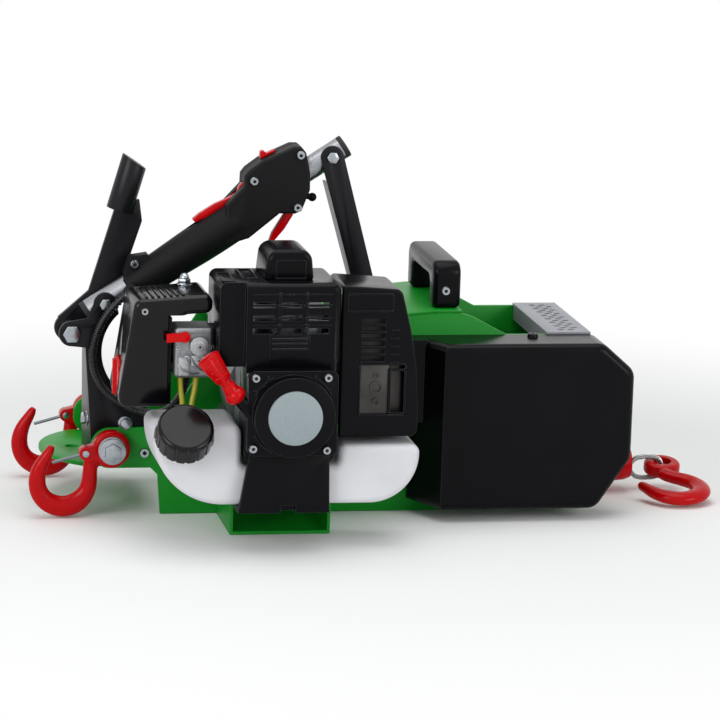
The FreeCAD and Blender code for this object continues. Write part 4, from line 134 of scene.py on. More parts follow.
for name, stand, aim, size, watts in (
        ("overhead_box", (-0.1, -0.2, 2.2), (0, -0.05, 0.1), 1.8, 24),
        ("left_box", (-1.9, -1.7, 1.1), (-0.1, -0.1, 0.15), 1.2, 24),
        ("right_box", (1.7, -2.1, 0.9), (0.1, -0.1, 0.15), 1.2, 20)):
    lamp = bpy.data.lights.new(name, "AREA")
    lamp.size = size
    lamp.energy = watts
    holder = bpy.data.objects.new(name, lamp)
    holder.location = stand
    holder.rotation_euler = (Vector(aim) - Vector(stand)).to_track_quat("-Z", "Y").to_euler()
    bpy.context.scene.collection.objects.link(holder)

azimuth, elevation, roll = math.radians(-11.0), math.radians(11.6), math.radians(1.85)
distance, target = 3.7, Vector((-0.018, -0.075, 0.148))
back = Vector((math.sin(azimuth) * math.cos(elevation), -math.cos(azimuth) * math.cos(elevation),
               math.sin(elevation)))
level = Vector((math.cos(azimuth), math.sin(azimuth), 0))
upright = back.cross(level)
right = level * math.cos(roll) + upright * math.sin(roll)
upright = upright * math.cos(roll) - level * math.sin(roll)
lens = bpy.data.cameras.new("long_lens")
lens.lens = 194.25
lens.sensor_width = 36
lens.clip_end = 40
camera = bpy.data.objects.new("camera", lens)
turn = Matrix((right, upright, back)).transposed()
camera.matrix_world = Matrix.Translation(target + back * distance) @ turn.to_4x4()
bpy.context.scene.collection.objects.link(camera)
bpy.context.scene.camera = camera
bpy.context.scene.view_settings.view_transform = "Standard"


# Frame: laser-cut and folded mild steel sheet, welded, deburred and powder coated in bright green.
# Powder coat flows a little before it cures, so it is glossy with a faint orange peel about 2.6 mm
# wide, and it is thin along the edges, which are painted a paler green as a painted highlight.
def grains(size):
    """The scale at which a noise has grains of a size in millimetres."""
    return 1000 / size


powder, tree, shader, place = material("green_powder_coat")
patches = node(tree, "ShaderNodeTexNoise", {"Vector": place, "Scale": grains(71.4), "Detail": 3})
tint = node(tree, "ShaderNodeMix", {0: patches.outputs["Fac"], 6: linear("05801a"),
                                    7: linear("0b9525")}, data_type="RGBA")
rim = node(tree, "ShaderNodeBevel", {"Radius": 0.0012}, samples=4)
facing = node(tree, "ShaderNodeNewGeometry").outputs["Normal"]
same = node(tree, "ShaderNodeVectorMath", {0: rim.outputs[0], 1: facing}, operation="DOT_PRODUCT")
# Painted highlight: the edges are painted a paler green where the bevel normal leaves the face's normal.
green_edge_highlight = node(tree, "ShaderNodeMapRange", {"Value": same.outputs["Value"], "From Min": 0.97,
                                         "From Max": 0.75})
highlighted_green = node(tree, "ShaderNodeMix", {0: green_edge_highlight.outputs[0], 6: tint.outputs[2], 7: linear("2fa83f")},
            data_type="RGBA")
peel = node(tree, "ShaderNodeTexNoise", {"Vector": place, "Scale": grains(2.63), "Detail": 1})
bump = node(tree, "ShaderNodeBump", {"Height": peel.outputs["Fac"], "Strength": 0.12,
                                     "Distance": 0.0004, "Normal": rim.outputs[0]})
tree.links.new(highlighted_green.outputs[2], shader.inputs["Base Color"])
tree.links.new(bump.outputs[0], shader.inputs["Normal"])
shader.inputs["Roughness"].default_value = 0.38
shader.inputs["Specular IOR Level"].default_value = 0.25


def paint(names, finish):
    """Gives CAD nodes a finish."""
    for name in names.split():
        slots = frame["nodes"][name].data.materials
        slots.clear()
        slots.append(finish)


def made_piece(name, shape, finish, body, inner=None):
    """Turns a bmesh into a piece that rides on a body; inner finishes the faces marked 1."""
    crease = math.radians(32)
    bmesh.ops.recalc_face_normals(shape, faces=shape.faces)
    mesh = bpy.data.meshes.new(name)
    shape.to_mesh(mesh)
    shape.free()
    mesh.shade_smooth()
    mesh.set_sharp_from_angle(angle=crease)
    mesh.materials.append(finish)
    if inner:
        mesh.materials.append(inner)
    made = bpy.data.objects.new(name, mesh)
    bpy.context.scene.collection.objects.link(made)
    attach(made, body)
    return made


def softened(names, width, finish, segments=2):
    """Copies of CAD nodes with their sharp edges rounded over by a width; each stands for its node."""
    merged, flat, sharp = 2e-6, math.radians(0.6), math.radians(38)
    for name in names.split():
        solid = frame["nodes"][name]
        shape = bmesh.new()
        shape.from_mesh(solid.data)
        bmesh.ops.remove_doubles(shape, verts=shape.verts, dist=merged)
        bmesh.ops.dissolve_limit(shape, angle_limit=flat, verts=shape.verts, edges=shape.edges)
        edges = [edge for edge in shape.edges if edge.is_manifold and edge.calc_face_angle(0) > sharp]
        bmesh.ops.bevel(shape, geom=edges, offset=width, affect="EDGES", segments=segments,
                        profile=0.5, material=-1, clamp_overlap=True)
        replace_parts(made_piece(name + "_finished", shape, finish, solid["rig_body"]), name)


softened("front_plate rear_plate top_cover engine_foot anchor_tongue", 0.0005, powder)
paint("base_plate end_plate", powder)

# Carry handle and belt cover: injection-moulded black nylon with a fine spark-eroded grain.
# The grain is drawn at 1.2 mm, coarser than the real half millimetre, so that it shows, and the edges
# are painted paler grey as a painted highlight.
nylon, tree, shader, place = material("grained_black_nylon")
grain = node(tree, "ShaderNodeTexNoise", {"Vector": place, "Scale": grains(1.2), "Detail": 2})
flow = node(tree, "ShaderNodeTexNoise", {"Vector": place, "Scale": grains(45.5), "Detail": 2})
tone = node(tree, "ShaderNodeMix", {0: flow.outputs["Fac"], 6: linear("060608"), 7: linear("0d0d11")},
            data_type="RGBA")
dull = node(tree, "ShaderNodeMapRange", {"Value": flow.outputs["Fac"], "To Min": 0.18, "To Max": 0.27})
rim = node(tree, "ShaderNodeBevel", {"Radius": 0.001}, samples=6)
facing = node(tree, "ShaderNodeNewGeometry").outputs["Normal"]
same = node(tree, "ShaderNodeVectorMath", {0: rim.outputs[0], 1: facing}, operation="DOT_PRODUCT")
# Painted highlight: the edges are painted paler grey where the bevel normal leaves the face's normal.
nylon_edge_highlight = node(tree, "ShaderNodeMapRange", {"Value": same.outputs["Value"], "From Min": 0.99,
                                           "From Max": 0.8})
highlighted_nylon_tone = node(tree, "ShaderNodeMix", {0: nylon_edge_highlight.outputs[0], 6: tone.outputs[2], 7: linear("4a4a50")},
             data_type="RGBA")
bump = node(tree, "ShaderNodeBump", {"Height": grain.outputs["Fac"], "Strength": 0.18,
                                     "Distance": 0.0003, "Normal": rim.outputs[0]})
tree.links.new(highlighted_nylon_tone.outputs[2], shader.inputs["Base Color"])
tree.links.new(dull.outputs[0], shader.inputs["Roughness"])
tree.links.new(bump.outputs[0], shader.inputs["Normal"])
shader.inputs["Specular IOR Level"].default_value = 0.09
paint("transmission_cover", nylon)
softened("carry_handle", 0.005, nylon, 3)


# Cover bolts: two moulded nylon screws with six-point sockets and low tapered heads.
# They stand on the belt cover's top and hold it to the frame.
def add_socket_screw(shape, seat, radius, tall, way=(0, -1, 0)):
    """Adds a round screw head with a six-point socket, on its seat in millimetres."""
    crown, land, waist, sunken = 0.84, 0.34, 0.66, 0.7
    before = set(shape.verts)
    made = bmesh.ops.create_cone(shape, cap_ends=True, segments=12, radius1=radius / 1000,
                                 radius2=radius * crown / 1000, depth=tall / 1000,
                                 matrix=Matrix.Translation((0, 0, tall / 2000)))
    faces = {face for vert in made["verts"] for face in vert.link_faces}
    top = max(faces, key=lambda face: face.calc_center_median().z)
    bmesh.ops.inset_individual(shape, faces=[top], thickness=radius * land / 1000)
    middle = top.calc_center_median()
    for vert in list(top.verts)[::2]:
        vert.co = middle.lerp(vert.co, waist)
    # The socket's walls and floor take the second finish, which is a painted shade in most pieces.
    top.material_index = 1
    sunk = bmesh.ops.extrude_discrete_faces(shape, faces=[top])["faces"][0]
    bmesh.ops.translate(shape, vec=(0, 0, -tall * sunken / 1000), verts=sunk.verts)
    turn = Vector(way).to_track_quat("Z", "Y").to_matrix().to_4x4()
    fresh = [vert for vert in shape.verts if vert not in before]
    bmesh.ops.transform(shape, matrix=Matrix.Translation(Vector(seat) / 1000) @ turn, verts=fresh)


shape = bmesh.new()
cover_middle, cover_top = -86, 172
for x in (147.3, -20):
    add_socket_screw(shape, (x, cover_middle, cover_top), 5.5, 3.2, (0, 0, 1))
cover_bolts = made_piece("cover_bolts", shape, nylon, "frame", nylon)

# Drum guard: perforated steel sheet over the rope bay, sprayed grey.
# The spray is thin and mottled a little lighter and darker at random. Its mist is drawn at 3 mm,
# coarser than the real drops, so that it shows.
grey, tree, shader, place = material("grey_sprayed_sheet")
mist = node(tree, "ShaderNodeTexNoise", {"Vector": place, "Scale": grains(3.125), "Detail": 2})
tone = node(tree, "ShaderNodeMix", {0: mist.outputs["Fac"], 6: linear("84858b"), 7: linear("a2a3a9")},
            data_type="RGBA")
tree.links.new(tone.outputs[2], shader.inputs["Base Color"])
shader.inputs["Roughness"].default_value = 0.45
softened("drum_guard", 0.0003, grey)

# Rope drum and gear train: turned and hobbed carbon steel, lightly oiled.
# Turning leaves fine rings round each axis, drawn as a faint noise stretched along the axis and
# 1.1 mm wide, coarser than the real cut, so that it shows.
steel, tree, shader, place = material("turned_carbon_steel")
ring_wide, ring_long = grains(1.11), grains(16.7)
stretched = node(tree, "ShaderNodeMapping", {"Vector": place,
                                             "Scale": (ring_wide, ring_long, ring_wide)})
rings = node(tree, "ShaderNodeTexNoise", {"Vector": stretched.outputs[0], "Scale": 1, "Detail": 2})
tone = node(tree, "ShaderNodeMix", {0: rings.outputs["Fac"], 6: linear("77797c"), 7: linear("a6a8ab")},
            data_type="RGBA")
dull = node(tree, "ShaderNodeMapRange", {"Value": rings.outputs["Fac"], "To Min": 0.28, "To Max": 0.45})
tree.links.new(tone.outputs[2], shader.inputs["Base Color"])
tree.links.new(dull.outputs[0], shader.inputs["Roughness"])
shader.inputs["Metallic"].default_value = 1
paint("drum drum_gear second_shaft second_gear belt_pulley clutch_bell crankshaft", steel)

# Bearing bushes: bronze powder pressed and sintered, soaked in oil and pushed into the plates.
# The pores make it mottled brown and gold, drawn at 0.7 mm, coarser than the real ones.
bronze, tree, shader, place = material("sintered_bronze")
pores = node(tree, "ShaderNodeTexNoise", {"Vector": place, "Scale": grains(0.667), "Detail": 1})
tone = node(tree, "ShaderNodeMix", {0: pores.outputs["Fac"], 6: linear("7d5a2c"), 7: linear("b98b4c")},
            data_type="RGBA")
tree.links.new(tone.outputs[2], shader.inputs["Base Color"])
shader.inputs["Metallic"].default_value = 1
shader.inputs["Roughness"].default_value = 0.4
paint("bearing_bushes", bronze)

# Drive belt: moulded rubber over cord, stretched round the clutch's and the gear train's pulleys.
# Rubber dust lies on it in patches of about 3 mm, so it is dull and uneven black.
rubber, tree, shader, place = material("black_belt_rubber")
dust = node(tree, "ShaderNodeTexNoise", {"Vector": place, "Scale": grains(3.33), "Detail": 2})
tone = node(tree, "ShaderNodeMix", {0: dust.outputs["Fac"], 6: linear("101010"), 7: linear("1d1d1d")},
            data_type="RGBA")
tree.links.new(tone.outputs[2], shader.inputs["Base Color"])
shader.inputs["Roughness"].default_value = 0.75
paint("drive_belt", rubber)

# Wire rope: six strands of bright galvanised wire laid round a core, 5 mm thick. The outer layer lies
# turn by turn on the drum, and its tail runs through the guide to a pressed eye. The single wires are
# drawn at 1.1 mm, coarser than the real third of a millimetre, so that they show.
wire, tree, shader, place = material("drawn_galvanised_wire")
threads = node(tree, "ShaderNodeTexNoise", {"Vector": place, "Scale": grains(1.11), "Detail": 2})
tone = node(tree, "ShaderNodeMix", {0: threads.outputs["Fac"], 6: linear("6d7072"),
                                    7: linear("c3c6c8")}, data_type="RGBA")
bump = node(tree, "ShaderNodeBump", {"Height": threads.outputs["Fac"], "Strength": 0.4,
                                     "Distance": 0.0003})
tree.links.new(tone.outputs[2], shader.inputs["Base Color"])
tree.links.new(bump.outputs[0], shader.inputs["Normal"])
shader.inputs["Metallic"].default_value = 1
shader.inputs["Roughness"].default_value = 0.33


def smooth_line(points, closeness):
    """Points along the NURBS line that a route's points control."""
    curve = bpy.data.curves.new("route", "CURVE")
    curve.dimensions = "3D"
    spline = curve.splines.new("NURBS")
    spline.points.add(len(points) - 1)
    for control, point in zip(spline.points, points):
        control.co = (*point, 1)
    spline.order_u = 3
    spline.use_endpoint_u = True
    curve.resolution_u = closeness
    holder = bpy.data.objects.new("route", curve)
    bpy.context.scene.collection.objects.link(holder)
    bpy.context.view_layer.update()
    mesh = bpy.data.meshes.new_from_object(holder)
    line = [vertex.co.copy() for vertex in mesh.vertices]
    bpy.data.objects.remove(holder)
    bpy.data.curves.remove(curve)
    bpy.data.meshes.remove(mesh)
    return line


def tubes(name, lines, radius, finish, body, sides=1, swell=None):
    """Round tubes along lines, as one mesh; swell gives each point's share of the radius."""
    curve = bpy.data.curves.new(name, "CURVE")
    curve.dimensions = "3D"
    curve.bevel_depth = radius
    curve.bevel_resolution = sides
    curve.use_fill_caps = True
    for line in lines:
        spline = curve.splines.new("POLY")
        spline.points.add(len(line) - 1)
        for number, (control, point) in enumerate(zip(spline.points, line)):
            control.co = (*point, 1)
            control.radius = swell[number] if swell else 1
    holder = bpy.data.objects.new(name, curve)
    bpy.context.scene.collection.objects.link(holder)
    bpy.context.view_layer.update()
    mesh = bpy.data.meshes.new_from_object(holder)
    bpy.data.objects.remove(holder)
    bpy.data.curves.remove(curve)
    shape = bmesh.new()
    shape.from_mesh(mesh)
    return made_piece(name, shape, finish, body)


rope_radius, rope_lay = 0.0025, 0.034
strand_ring, strand_radius = rope_radius * 0.66, rope_radius * 0.345


def laid_strands(line):
    """The six strands that wind round the rope's middle line."""
    strands = [[] for strand in range(6)]
    side, run = Vector((0, 0, 1)), 0
    for number, point in enumerate(line):
        ahead = line[min(number + 1, len(line) - 1)] - line[max(number - 1, 0)]
        ahead.normalize()
        side = side - ahead * side.dot(ahead)
        side.normalize()
        across = ahead.cross(side)
        if number:
            run += (point - line[number - 1]).length
        for strand, places in enumerate(strands):
            angle = 2 * math.pi * (run / rope_lay + strand / 6)
            places.append(point + (side * math.cos(angle) + across * math.sin(angle)) * strand_ring)
    return strands


drum_x, drum_z = 0.122, 0.084
wound_radius, wound_pitch, wound_turns, wound_middle = 0.0497, 0.0055, 17, 0.012
per_turn = 12
control_radius = wound_radius / math.cos(math.pi / per_turn)
controls = []
for step in range(per_turn * wound_turns + 1):
    angle = math.pi / 2 + 2 * math.pi * step / per_turn
    controls.append((drum_x + control_radius * math.cos(angle),
                     wound_middle + wound_pitch * (step / per_turn - wound_turns / 2),
                     drum_z + control_radius * math.sin(angle)))
wound_line = smooth_line(controls, 8)
wound = tubes("wound_rope", laid_strands(wound_line), strand_radius, wire, "drum")
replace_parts(wound, "rope_winding")

lead_route = [(0.147, 0, 0.034), (0.200, 0, 0.028), (0.253, 0, 0.022)]
lead_line = smooth_line(lead_route, 24)
lead = tubes("rope_lead", laid_strands(lead_line), strand_radius, wire, "frame", 2)
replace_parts(lead, "rope_end")
eye_bend, eye_left, eye_right, eye_z = 0.010, 0.280, 0.293, 0.022
eye_high, eye_wide = eye_bend + 0.0006, eye_bend * 1.12
eye_route = [(eye_left - 0.0085, 0, eye_z + 0.0022), (eye_left - 0.004, 0, eye_z + 0.0085),
             (eye_left + 0.003, 0, eye_z + eye_high), (eye_right - 0.002, 0, eye_z + eye_high),
             (eye_right + eye_bend * 0.62, 0, eye_z + eye_bend),
             (eye_right + eye_wide, 0, eye_z + eye_bend * 0.5),
             (eye_right + eye_wide, 0, eye_z - eye_bend * 0.5),
             (eye_right + eye_bend * 0.62, 0, eye_z - eye_bend),
             (eye_right - 0.002, 0, eye_z - eye_high), (eye_left + 0.003, 0, eye_z - eye_high),
             (eye_left - 0.004, 0, eye_z - 0.0085), (eye_left - 0.0085, 0, eye_z - 0.0022)]
eye_line = smooth_line(eye_route, 10)
eye = tubes("rope_eye", laid_strands(eye_line), strand_radius, wire, "frame", 2)

# Ferrule: a soft aluminium sleeve pressed over both parts of the rope below the eye.
# The press leaves a waist between two raised bands, and scuffs about 2.4 mm wide.
pressed, tree, shader, place = material("pressed_aluminium")
scuffs = node(tree, "ShaderNodeTexNoise", {"Vector": place, "Scale": grains(2.38), "Detail": 3})
tone = node(tree, "ShaderNodeMix", {0: scuffs.outputs["Fac"], 6: linear("8c9093"), 7: linear("c6cacc")},
            data_type="RGBA")
tree.links.new(tone.outputs[2], shader.inputs["Base Color"])
shader.inputs["Metallic"].default_value = 1
shader.inputs["Roughness"].default_value = 0.42
shape = bmesh.new()
profile = [(0.2525, 0.0048), (0.2540, 0.0060), (0.2585, 0.0060), (0.2595, 0.0056), (0.2650, 0.0056),
           (0.2660, 0.0060), (0.2710, 0.0060), (0.2730, 0.0048)]
verts = [shape.verts.new((x, 0, eye_z + radius)) for x, radius in profile]
edges = [shape.edges.new(pair) for pair in zip(verts, verts[1:])]
bmesh.ops.spin(shape, geom=verts + edges, cent=(0, 0, eye_z), axis=(1, 0, 0), angle=2 * math.pi,
               steps=28, use_merge=True)
bmesh.ops.holes_fill(shape, edges=[edge for edge in shape.edges if edge.is_boundary])
ferrule = made_piece("ferrule", shape, pressed, "frame")

# Hooks and rope guide: drop-forged steel with edges rounded off by the die, dipped in red enamel.
# The enamel pools over the forging's scale, so it is glossy with soft lumps about 6 mm wide.
enamel, tree, shader, place = material("red_enamel_on_forging")
lumps = node(tree, "ShaderNodeTexNoise", {"Vector": place, "Scale": grains(6.25), "Detail": 2})
tone = node(tree, "ShaderNodeMix", {0: lumps.outputs["Fac"], 6: linear("a80208"), 7: linear("c4040c")},
            data_type="RGBA")
bump = node(tree, "ShaderNodeBump", {"Height": lumps.outputs["Fac"], "Strength": 0.2,
                                     "Distance": 0.0008})
tree.links.new(tone.outputs[2], shader.inputs["Base Color"])
tree.links.new(bump.outputs[0], shader.inputs["Normal"])
shader.inputs["Roughness"].default_value = 0.18
shader.inputs["Specular IOR Level"].default_value = 0.14
softened("hook_front hook_rear rope_hook", 0.0006, enamel)
softened("rope_guide", 0.0012, enamel)

# Bolts: cold-headed steel with bright zinc plate, a little hazed in patches of about 4 mm.
# The front hook's bolt stands on a broad washer, and two hex bolts on small washers hold the left
# bracket's foot.
zinc, tree, shader, place = material("bright_zinc_plate")
haze = node(tree, "ShaderNodeTexNoise", {"Vector": place, "Scale": grains(3.85), "Detail": 3})
tone = node(tree, "ShaderNodeMix", {0: haze.outputs["Fac"], 6: linear("8d9399"), 7: linear("b4b9be")},
            data_type="RGBA")
dull = node(tree, "ShaderNodeMapRange", {"Value": haze.outputs["Fac"], "To Min": 0.2, "To Max": 0.3})
tree.links.new(tone.outputs[2], shader.inputs["Base Color"])
tree.links.new(dull.outputs[0], shader.inputs["Roughness"])
shader.inputs["Metallic"].default_value = 1
softened("fasteners", 0.0005, zinc)


def add_round(shape, start, end, radius, end_radius=None, sides=24, soft=0):
    """Adds a round or many-sided bar between two places, in millimetres, with its rims rounded over."""
    start, end = Vector(start) / 1000, Vector(end) / 1000
    turn = (end - start).to_track_quat("Z", "Y").to_matrix().to_4x4()
    second = radius if end_radius is None else end_radius
    made = bmesh.ops.create_cone(shape, cap_ends=True, segments=sides, radius1=radius / 1000,
                                 radius2=second / 1000, depth=(end - start).length,
                                 matrix=Matrix.Translation((start + end) / 2) @ turn)
    if soft:
        rims = dict.fromkeys(edge for vert in made["verts"] for edge in vert.link_edges
                             if any(len(face.verts) == sides for face in edge.link_faces))
        bmesh.ops.bevel(shape, geom=list(rims), offset=soft / 1000, affect="EDGES", segments=2,
                        profile=0.5, material=-1, clamp_overlap=True)


shape = bmesh.new()
foot_washer, foot_head = 7, 5.6
add_round(shape, (-241.5, -71, 87.6), (-241.5, -72.2, 87.6), foot_washer, soft=0.4)
add_round(shape, (-241.5, -72, 87.6), (-241.5, -76.5, 87.6), foot_head, sides=6, soft=0.6)
add_round(shape, (-274, -48, 88), (-275.9, -48, 88), foot_washer, soft=0.4)
add_round(shape, (-275.6, -48, 88), (-280.5, -48, 88), foot_head, sides=6, soft=0.6)
hook_washer, hook_head = 12.6, 8.6
add_round(shape, (-256, -97.2, 66), (-256, -98.6, 66), hook_washer, soft=0.5)
add_round(shape, (-256, -98.2, 66), (-256, -103.4, 66), hook_head, sides=6, soft=0.8)
hex_bolts = made_piece("hex_bolts", shape, zinc, "frame")

# Latches: bent from blue-grey spring steel strip and sprung across the hooks' mouths.
# They are polished in streaks about 5 mm wide where they rub in the hooks.
spring, tree, shader, place = material("spring_steel_strip")
rub = node(tree, "ShaderNodeTexNoise", {"Vector": place, "Scale": grains(5.26), "Detail": 2})
tone = node(tree, "ShaderNodeMix", {0: rub.outputs["Fac"], 6: linear("4c5358"), 7: linear("7d858a")},
            data_type="RGBA")
tree.links.new(tone.outputs[2], shader.inputs["Base Color"])
shader.inputs["Metallic"].default_value = 1
shader.inputs["Roughness"].default_value = 0.3
softened("latch_front latch_rear", 0.0003, spring)

# Latch rivets: a plated steel rivet through each hook's lug, on which its latch turns.
# It is set cold, with a rounded head on both faces of the lug.
rivet_x, rivet_z, rivet_radius = -280.5, 62.5, 3.4
for side, hook in ((-1, "hook_front"), (1, "hook_rear")):
    shape = bmesh.new()
    for seat, head in ((89.6, 91.2), (77, 75.9)):
        add_round(shape, (rivet_x, side * seat, rivet_z), (rivet_x, side * head, rivet_z),
                  rivet_radius, soft=0.7)
    rivet = made_piece(hook + "_rivet", shape, zinc, hook)

# Screws: zinc-plated pan heads with six-point sockets, in the starter, grip, bracket, frame, filter
# and handle. The sockets are painted dark as painted shade, in specks drawn at 1.1 mm so that they show.
socket_shade, tree, shader, place = material("painted_socket_shade")
socket_shade_specks = node(tree, "ShaderNodeTexNoise", {"Vector": place, "Scale": grains(1.11), "Detail": 1})
tone = node(tree, "ShaderNodeMix", {0: socket_shade_specks.outputs["Fac"], 6: linear("0b0b0c"), 7: linear("242527")},
            data_type="RGBA")
tree.links.new(tone.outputs[2], shader.inputs["Base Color"])
shader.inputs["Roughness"].default_value = 0.6
shader.inputs["Specular IOR Level"].default_value = 0.15
shape = bmesh.new()
pan_radius, pan_height = 4.1, 1.4
crank_x, crank_z, starter_face = -110.5, 132, -242.4
for across, up in ((-35, 34.5), (31.5, 34.5), (32, -33), (-36, -31)):
    add_socket_screw(shape, (crank_x + across, starter_face, crank_z + up), pan_radius, pan_height)
grip_face, bracket_face = -75.4, -65.4
for seat in ((-124.3, grip_face, 319.9), (-80.8, grip_face, 344.6), (-82.4, grip_face, 295),
             (-234.5, bracket_face, 239.2)):
    add_socket_screw(shape, seat, pan_radius, pan_height)
frame_screw, filter_screw, handle_screw = (-223.2, -75, 59.8), (-240.8, -188, 218), (65, -67, 213)
add_socket_screw(shape, frame_screw, 5, 3)
add_socket_screw(shape, filter_screw, 3.6, 1.8)
add_socket_screw(shape, handle_screw, 4.4, 1.2)
socket_screws = made_piece("socket_screws", shape, zinc, "frame", socket_shade)

# Handlebar: welded steel tube, brushed along its length to a satin finish, with black rubber plugs
# pressed into its ends. The brush lines are drawn at 0.8 mm, coarser than real ones, so that they show.
tube_steel, tree, shader, place = material("satin_steel_tube")
bar_slope = math.radians(33.33)
line_long, line_wide = grains(16.7), grains(0.833)
turned = node(tree, "ShaderNodeMapping", {"Vector": place, "Rotation": (0, bar_slope, 0),
                                          "Scale": (line_long, line_wide, line_wide)})
lines = node(tree, "ShaderNodeTexNoise", {"Vector": turned.outputs[0], "Scale": 1, "Detail": 2})
tone = node(tree, "ShaderNodeMix", {0: lines.outputs["Fac"], 6: linear("7c7f83"), 7: linear("aeb1b5")},
            data_type="RGBA")
tree.links.new(tone.outputs[2], shader.inputs["Base Color"])
shader.inputs["Metallic"].default_value = 1
shader.inputs["Roughness"].default_value = 0.34
paint("handlebar_tube", tube_steel)
softened("tube_caps", 0.0012, rubber)

# Brackets and drum lever: flame-cut steel bar, bent, drilled and bolted to the frame.
# They are sprayed satin black, with a fine orange peel about 2 mm wide and rounded edges.
satin, tree, shader, place = material("satin_black_paint")
spray = node(tree, "ShaderNodeTexNoise", {"Vector": place, "Scale": grains(1.92), "Detail": 2})
rim = node(tree, "ShaderNodeBevel", {"Radius": 0.0007}, samples=4)
bump = node(tree, "ShaderNodeBump", {"Height": spray.outputs["Fac"], "Strength": 0.12,
                                     "Distance": 0.0003, "Normal": rim.outputs[0]})
tone = node(tree, "ShaderNodeMix", {0: spray.outputs["Fac"], 6: linear("0c0c0f"), 7: linear("15151a")},
            data_type="RGBA")
tree.links.new(tone.outputs[2], shader.inputs["Base Color"])
tree.links.new(bump.outputs[0], shader.inputs["Normal"])
shader.inputs["Roughness"].default_value = 0.34
shader.inputs["Specular IOR Level"].default_value = 0.2
softened("bracket_left bracket_right", 0.0006, satin)
softened("drum_lever", 0.0009, satin)

# Throttle grip: two glass-filled nylon halves screwed together round the tube, with a round cable
# adjuster at the upper end. The fibres leave a matt skin, so it shades softly; they are drawn at 2 mm
# so that they show.
matt, tree, shader, place = material("matt_glass_filled_nylon")
fibre = node(tree, "ShaderNodeTexNoise", {"Vector": place, "Scale": grains(2), "Detail": 3})
tone = node(tree, "ShaderNodeMix", {0: fibre.outputs["Fac"], 6: linear("08080a"), 7: linear("121214")},
            data_type="RGBA")
bump = node(tree, "ShaderNodeBump", {"Height": fibre.outputs["Fac"], "Strength": 0.15,
                                     "Distance": 0.0003})
tree.links.new(tone.outputs[2], shader.inputs["Base Color"])
tree.links.new(bump.outputs[0], shader.inputs["Normal"])
shader.inputs["Roughness"].default_value = 0.56
shader.inputs["Specular IOR Level"].default_value = 0.15
softened("grip_front_half grip_rear_half", 0.0012, matt, 3)
shape = bmesh.new()
add_round(shape, (-72.5, -56, 303.5), (-67, -56, 302.2), 3, soft=0.4)
adjuster_end = (-0.0655, -0.056, 0.302)
bmesh.ops.create_uvsphere(shape, u_segments=20, v_segments=12, radius=0.0042,
                          matrix=Matrix.Translation(adjuster_end))
adjuster = made_piece("cable_adjuster", shape, nylon, "frame")

# Red controls: trigger, lock-out lever, stop switch, choke lever and filter knob, moulded in ABS.
# The mould is polished, so they are glossy, with slight sink marks about 14 mm wide.
gloss, tree, shader, place = material("glossy_red_abs")
sink = node(tree, "ShaderNodeTexNoise", {"Vector": place, "Scale": grains(14.3), "Detail": 1})
tone = node(tree, "ShaderNodeMix", {0: sink.outputs["Fac"], 6: linear("b50207"), 7: linear("cf060b")},
            data_type="RGBA")
bump = node(tree, "ShaderNodeBump", {"Height": sink.outputs["Fac"], "Strength": 0.15,
                                     "Distance": 0.001})
tree.links.new(tone.outputs[2], shader.inputs["Base Color"])
tree.links.new(bump.outputs[0], shader.inputs["Normal"])
shader.inputs["Roughness"].default_value = 0.18
shader.inputs["Specular IOR Level"].default_value = 0.14
softened("trigger lockout_lever", 0.0014, gloss)
softened("stop_switch choke_lever", 0.0007, gloss)
softened("filter_knob", 0.0012, gloss)

# Throttle conduit: ribbed polyamide sleeve over the cable, from the grip to the carburettor.
# It is rolled hot from a thin tube, so each rib has a soft shine, and dust greys it in patches of
# about 6 mm.
sleeve, tree, shader, place = material("ribbed_polyamide")
dust = node(tree, "ShaderNodeTexNoise", {"Vector": place, "Scale": grains(5.56), "Detail": 2})
tone = node(tree, "ShaderNodeMix", {0: dust.outputs["Fac"], 6: linear("121214"), 7: linear("26262a")},
            data_type="RGBA")
tree.links.new(tone.outputs[2], shader.inputs["Base Color"])
shader.inputs["Roughness"].default_value = 0.3
conduit_route = [(-0.243, -0.0795, 0.214), (-0.258, -0.0795, 0.200), (-0.269, -0.0795, 0.182),
                 (-0.275, -0.0795, 0.162), (-0.274, -0.0805, 0.142), (-0.266, -0.0825, 0.125),
                 (-0.253, -0.0855, 0.113), (-0.236, -0.0905, 0.105), (-0.219, -0.0975, 0.102),
                 (-0.208, -0.112, 0.107), (-0.196, -0.122, 0.124), (-0.191, -0.128, 0.148),
                 (-0.190, -0.138, 0.168), (-0.190, -0.154, 0.168)]
conduit_line = smooth_line(conduit_route, 32)
groove_and_rib = (0.74, 0.74, 1, 1)
swell = [groove_and_rib[number % 4] for number in range(len(conduit_line))]
conduit = tubes("ribbed_conduit", [conduit_line], 0.004, sleeve, "frame", 4, swell)
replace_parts(conduit, "throttle_conduit")

# Engine block: die-cast aluminium crankcase, clutch housing, finned cylinder and carburettor.
# They are left as cast, so the skin is dull and rough; it is drawn at 1.5 mm, coarser than the real
# grain, so that it shows.
cast, tree, shader, place = material("die_cast_aluminium")
skin = node(tree, "ShaderNodeTexNoise", {"Vector": place, "Scale": grains(1.54), "Detail": 3})
tone = node(tree, "ShaderNodeMix", {0: skin.outputs["Fac"], 6: linear("6f7275"), 7: linear("a3a6a8")},
            data_type="RGBA")
bump = node(tree, "ShaderNodeBump", {"Height": skin.outputs["Fac"], "Strength": 0.35,
                                     "Distance": 0.0004})
tree.links.new(tone.outputs[2], shader.inputs["Base Color"])
tree.links.new(bump.outputs[0], shader.inputs["Normal"])
shader.inputs["Metallic"].default_value = 1
shader.inputs["Roughness"].default_value = 0.5
paint("clutch_housing crankcase cylinder flywheel spark_plug", cast)
softened("carburettor", 0.0006, cast)


